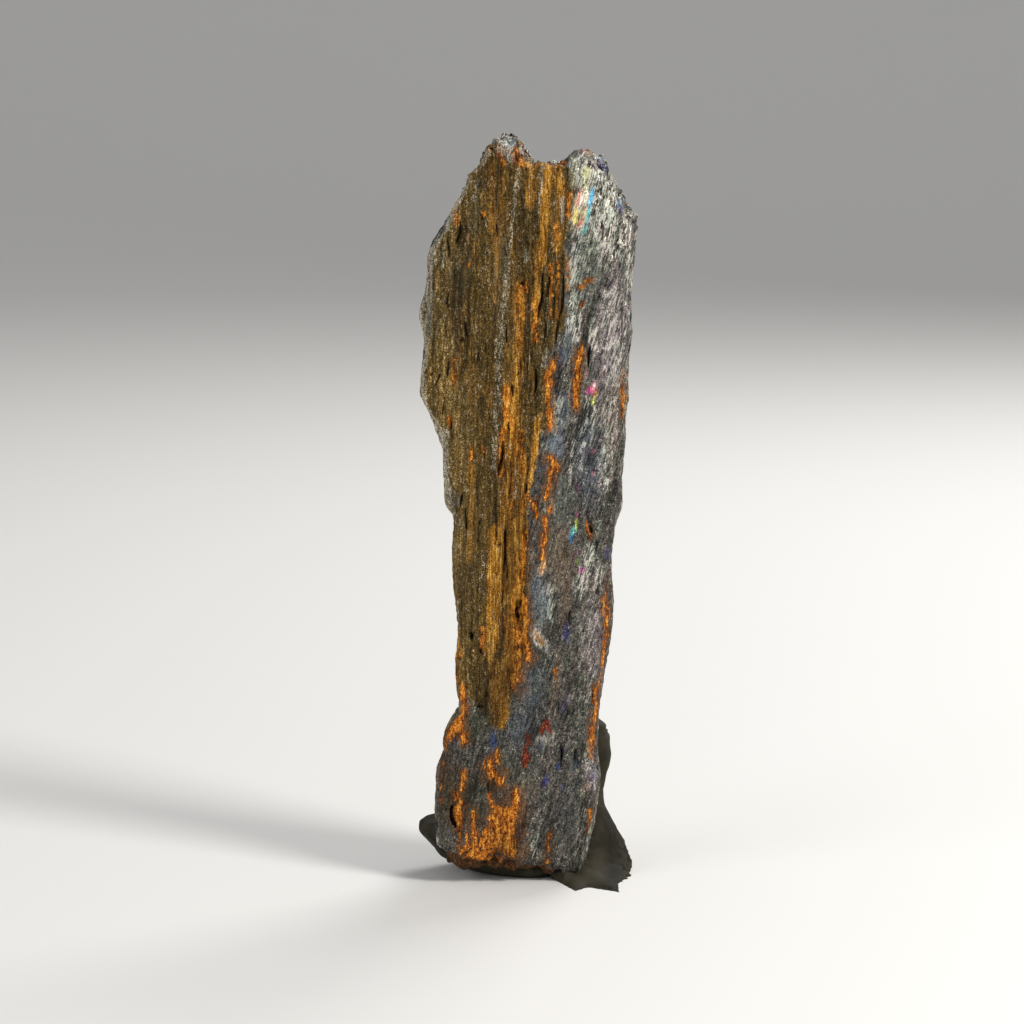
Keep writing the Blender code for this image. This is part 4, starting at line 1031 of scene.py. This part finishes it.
def makePutty():
    piece = copyOfNode("mounting_putty", "putty_wad")
    applyModifier(piece, "REMESH", mode="VOXEL", voxel_size=putty["voxel"])
    applyModifier(piece, "SMOOTH", factor=0.5, iterations=putty["smoothing"])
    points = pointsOf(piece)
    normals = normalsOf(piece)
    x, y, z = points.T
    off = smoothStep(0.3, 1.5, z)
    rise = putty["lumpRise"] * noiseAt(points, putty["lumpPitch"], 5.0)
    rise -= putty["creaseRise"] * np.exp(-(noiseAt(points, putty["creasePitch"], 9.0) / 0.06) ** 2)
    for creaseX, creaseZ, slope in putty["creases"]:
        wave = 0.25 * noiseAt(points, 1.5, creaseZ)
        away = z + wave - creaseZ - slope * (x - creaseX)
        near = smoothStep(3.0, 1.5, np.abs(x - creaseX))
        rise -= putty["creaseDepth"] * np.exp(-(away / 0.22) ** 2) * near
    points += normals * (rise * off)[:, None]
    # The fan's torn lip, the low front, the curled lump and the column
    lip = smoothStep(13.2, 15.4, x) * smoothStep(7.0, 4.0, z)
    x += putty["tear"] * lip * noiseAt(points, putty["tearPitch"], 13.0)
    z += putty["tear"] * lip * off * noiseAt(points, 0.8, 17.0)
    front = smoothStep(-8.5, -10.5, y) * smoothStep(7.5, 4.5, x)
    z *= 1.0 - putty["lowFront"] * front * smoothStep(8.0, 4.0, z)
    x -= putty["curl"] * smoothStep(-12.5, -15.0, x) * np.exp(-((z - 8.0) / 3.0) ** 2)
    z -= putty["droop"] * smoothStep(-11.0, -13.5, x) * smoothStep(3.0, 8.0, z)
    x += putty["swell"] * np.exp(-((z - 15.5) / 3.0) ** 2) * smoothStep(8.0, 10.5, x)
    points = pressAgainst(points, stonePiece)
    points[:, 2] = np.maximum(points[:, 2], 0.0)
    movePoints(piece, points)
    reportTriangles("putty", piece)
    return piece


def puttyMaterial():
    g = Graph("mounting putty")
    place = g.places()
    cloud = g.noise(place, (4.0, 4.0, 4.0), 4.0)
    fine = g.noise(place, (0.25, 0.25, 0.25), 3.0)
    colour = g.mix(cloud.step(0.3, 0.7), puttyFinish["dark"], puttyFinish["light"])
    split = g.split(place)
    smear = g.noise(g.vector("MULTIPLY", place, (1.0, 1.0, 0.35)), (0.9, 0.9, 0.9), 3.0)
    # Painted shadow of the stone over the putty's fan, fading at its far lip
    fan = split["X"].step(10.5, 13.0) * (1.0 - split["Z"].step(11.0, 16.0)) * (1.15 - smear * 0.7)
    colour = g.mix((fan - split["X"].step(13.5, 15.5) * 0.5).clamp(), colour, puttyFinish["fan"])
    g.surface("Base Color", colour)
    g.surface("Roughness", puttyFinish["roughness"] + cloud * 0.15)
    g.surface("Specular IOR Level", puttyFinish["specular"])
    g.surface("Normal", g.bump(fine * 0.3 + cloud, 0.4, puttyFinish["bumpDepth"]))
    return g.material


puttyPiece = makePutty()
finishPiece(puttyPiece, "root", "mounting_putty", puttyMaterial())
print("stage: putty finished")


# Floor, lights and camera

studio = {
    "target": (-2.4, -10.0, 57.0),
    "distance": 650.0,
    "elevation": 8.0,
    "lens": 152.3,
    "sensor": 36.0,
    "floor": shade(226, 224, 220),
    "floorRoughness": 0.6,
    "world": (0.95, 0.97, 1.0),
    "worldStrength": 0.36,
    "lights": [  # name, place, width, watts, colour
        ("key light", (560.0, -420.0, 560.0), 260.0, 6.2, (1.0, 0.98, 0.95)),
        ("fill light", (-600.0, -500.0, 350.0), 600.0, 2.0, (0.95, 0.97, 1.0)),
        ("rim light", (300.0, 500.0, 500.0), 400.0, 3.0, (1.0, 1.0, 1.0)),
    ],
}


def makeFloor():
    bpy.ops.object.select_all(action="DESELECT")
    bpy.ops.mesh.primitive_plane_add(size=4.0, location=(0.0, 0.0, 0.0))
    floor = bpy.context.object
    floor.name = "studio_floor"
    bpy.ops.object.mode_set(mode="EDIT")
    bpy.ops.mesh.select_all(action="DESELECT")
    bpy.ops.object.mode_set(mode="OBJECT")
    for edge in floor.data.edges:
        edge.select = all(floor.data.vertices[index].co.y > 1.9 for index in edge.vertices)
    bpy.ops.object.mode_set(mode="EDIT")
    bpy.ops.mesh.select_mode(type="EDGE")
    bpy.ops.mesh.extrude_region_move(TRANSFORM_OT_translate={"value": (0.0, 0.0, 2.0)})
    bpy.ops.object.mode_set(mode="OBJECT")
    applyModifier(floor, "BEVEL", width=1.0, segments=16, limit_method="ANGLE")
    bpy.ops.object.shade_smooth()
    g = Graph("pale studio floor")
    g.surface("Base Color", studio["floor"])
    g.surface("Roughness", studio["floorRoughness"])
    floor.data.materials.append(g.material)


def makeLight(name, place, size, power, colour):
    bpy.ops.object.light_add(type="AREA", location=[value * mm for value in place])
    light = bpy.context.object
    light.name = name
    light.data.shape = "DISK"
    light.data.size = size * mm
    light.data.energy = power
    light.data.color = colour
    way = Vector(studio["target"]) - Vector(place)
    light.rotation_euler = way.to_track_quat("-Z", "Y").to_euler()


def makeCamera():
    turn = math.radians(studio["elevation"])
    target = Vector(studio["target"]) * mm
    back = Vector((0.0, -math.cos(turn), math.sin(turn)))
    place = target + back * studio["distance"] * mm
    bpy.ops.object.camera_add(location=place)
    camera = bpy.context.object
    camera.rotation_euler = (-back).to_track_quat("-Z", "Y").to_euler()
    camera.data.lens = studio["lens"]
    camera.data.sensor_width = studio["sensor"]
    camera.data.clip_start = 0.01
    camera.data.clip_end = 20.0
    bpy.context.scene.camera = camera


def makeWorld():
    world = bpy.data.worlds.new("studio")
    bpy.context.scene.world = world
    world.use_nodes = True
    background = world.node_tree.nodes["Background"]
    background.inputs["Color"].default_value = (*studio["world"], 1.0)
    background.inputs["Strength"].default_value = studio["worldStrength"]


makeFloor()
for light in studio["lights"]:
    makeLight(*light)
makeWorld()
makeCamera()
bpy.context.scene.view_settings.view_transform = "Standard"
print("stage: studio ready")
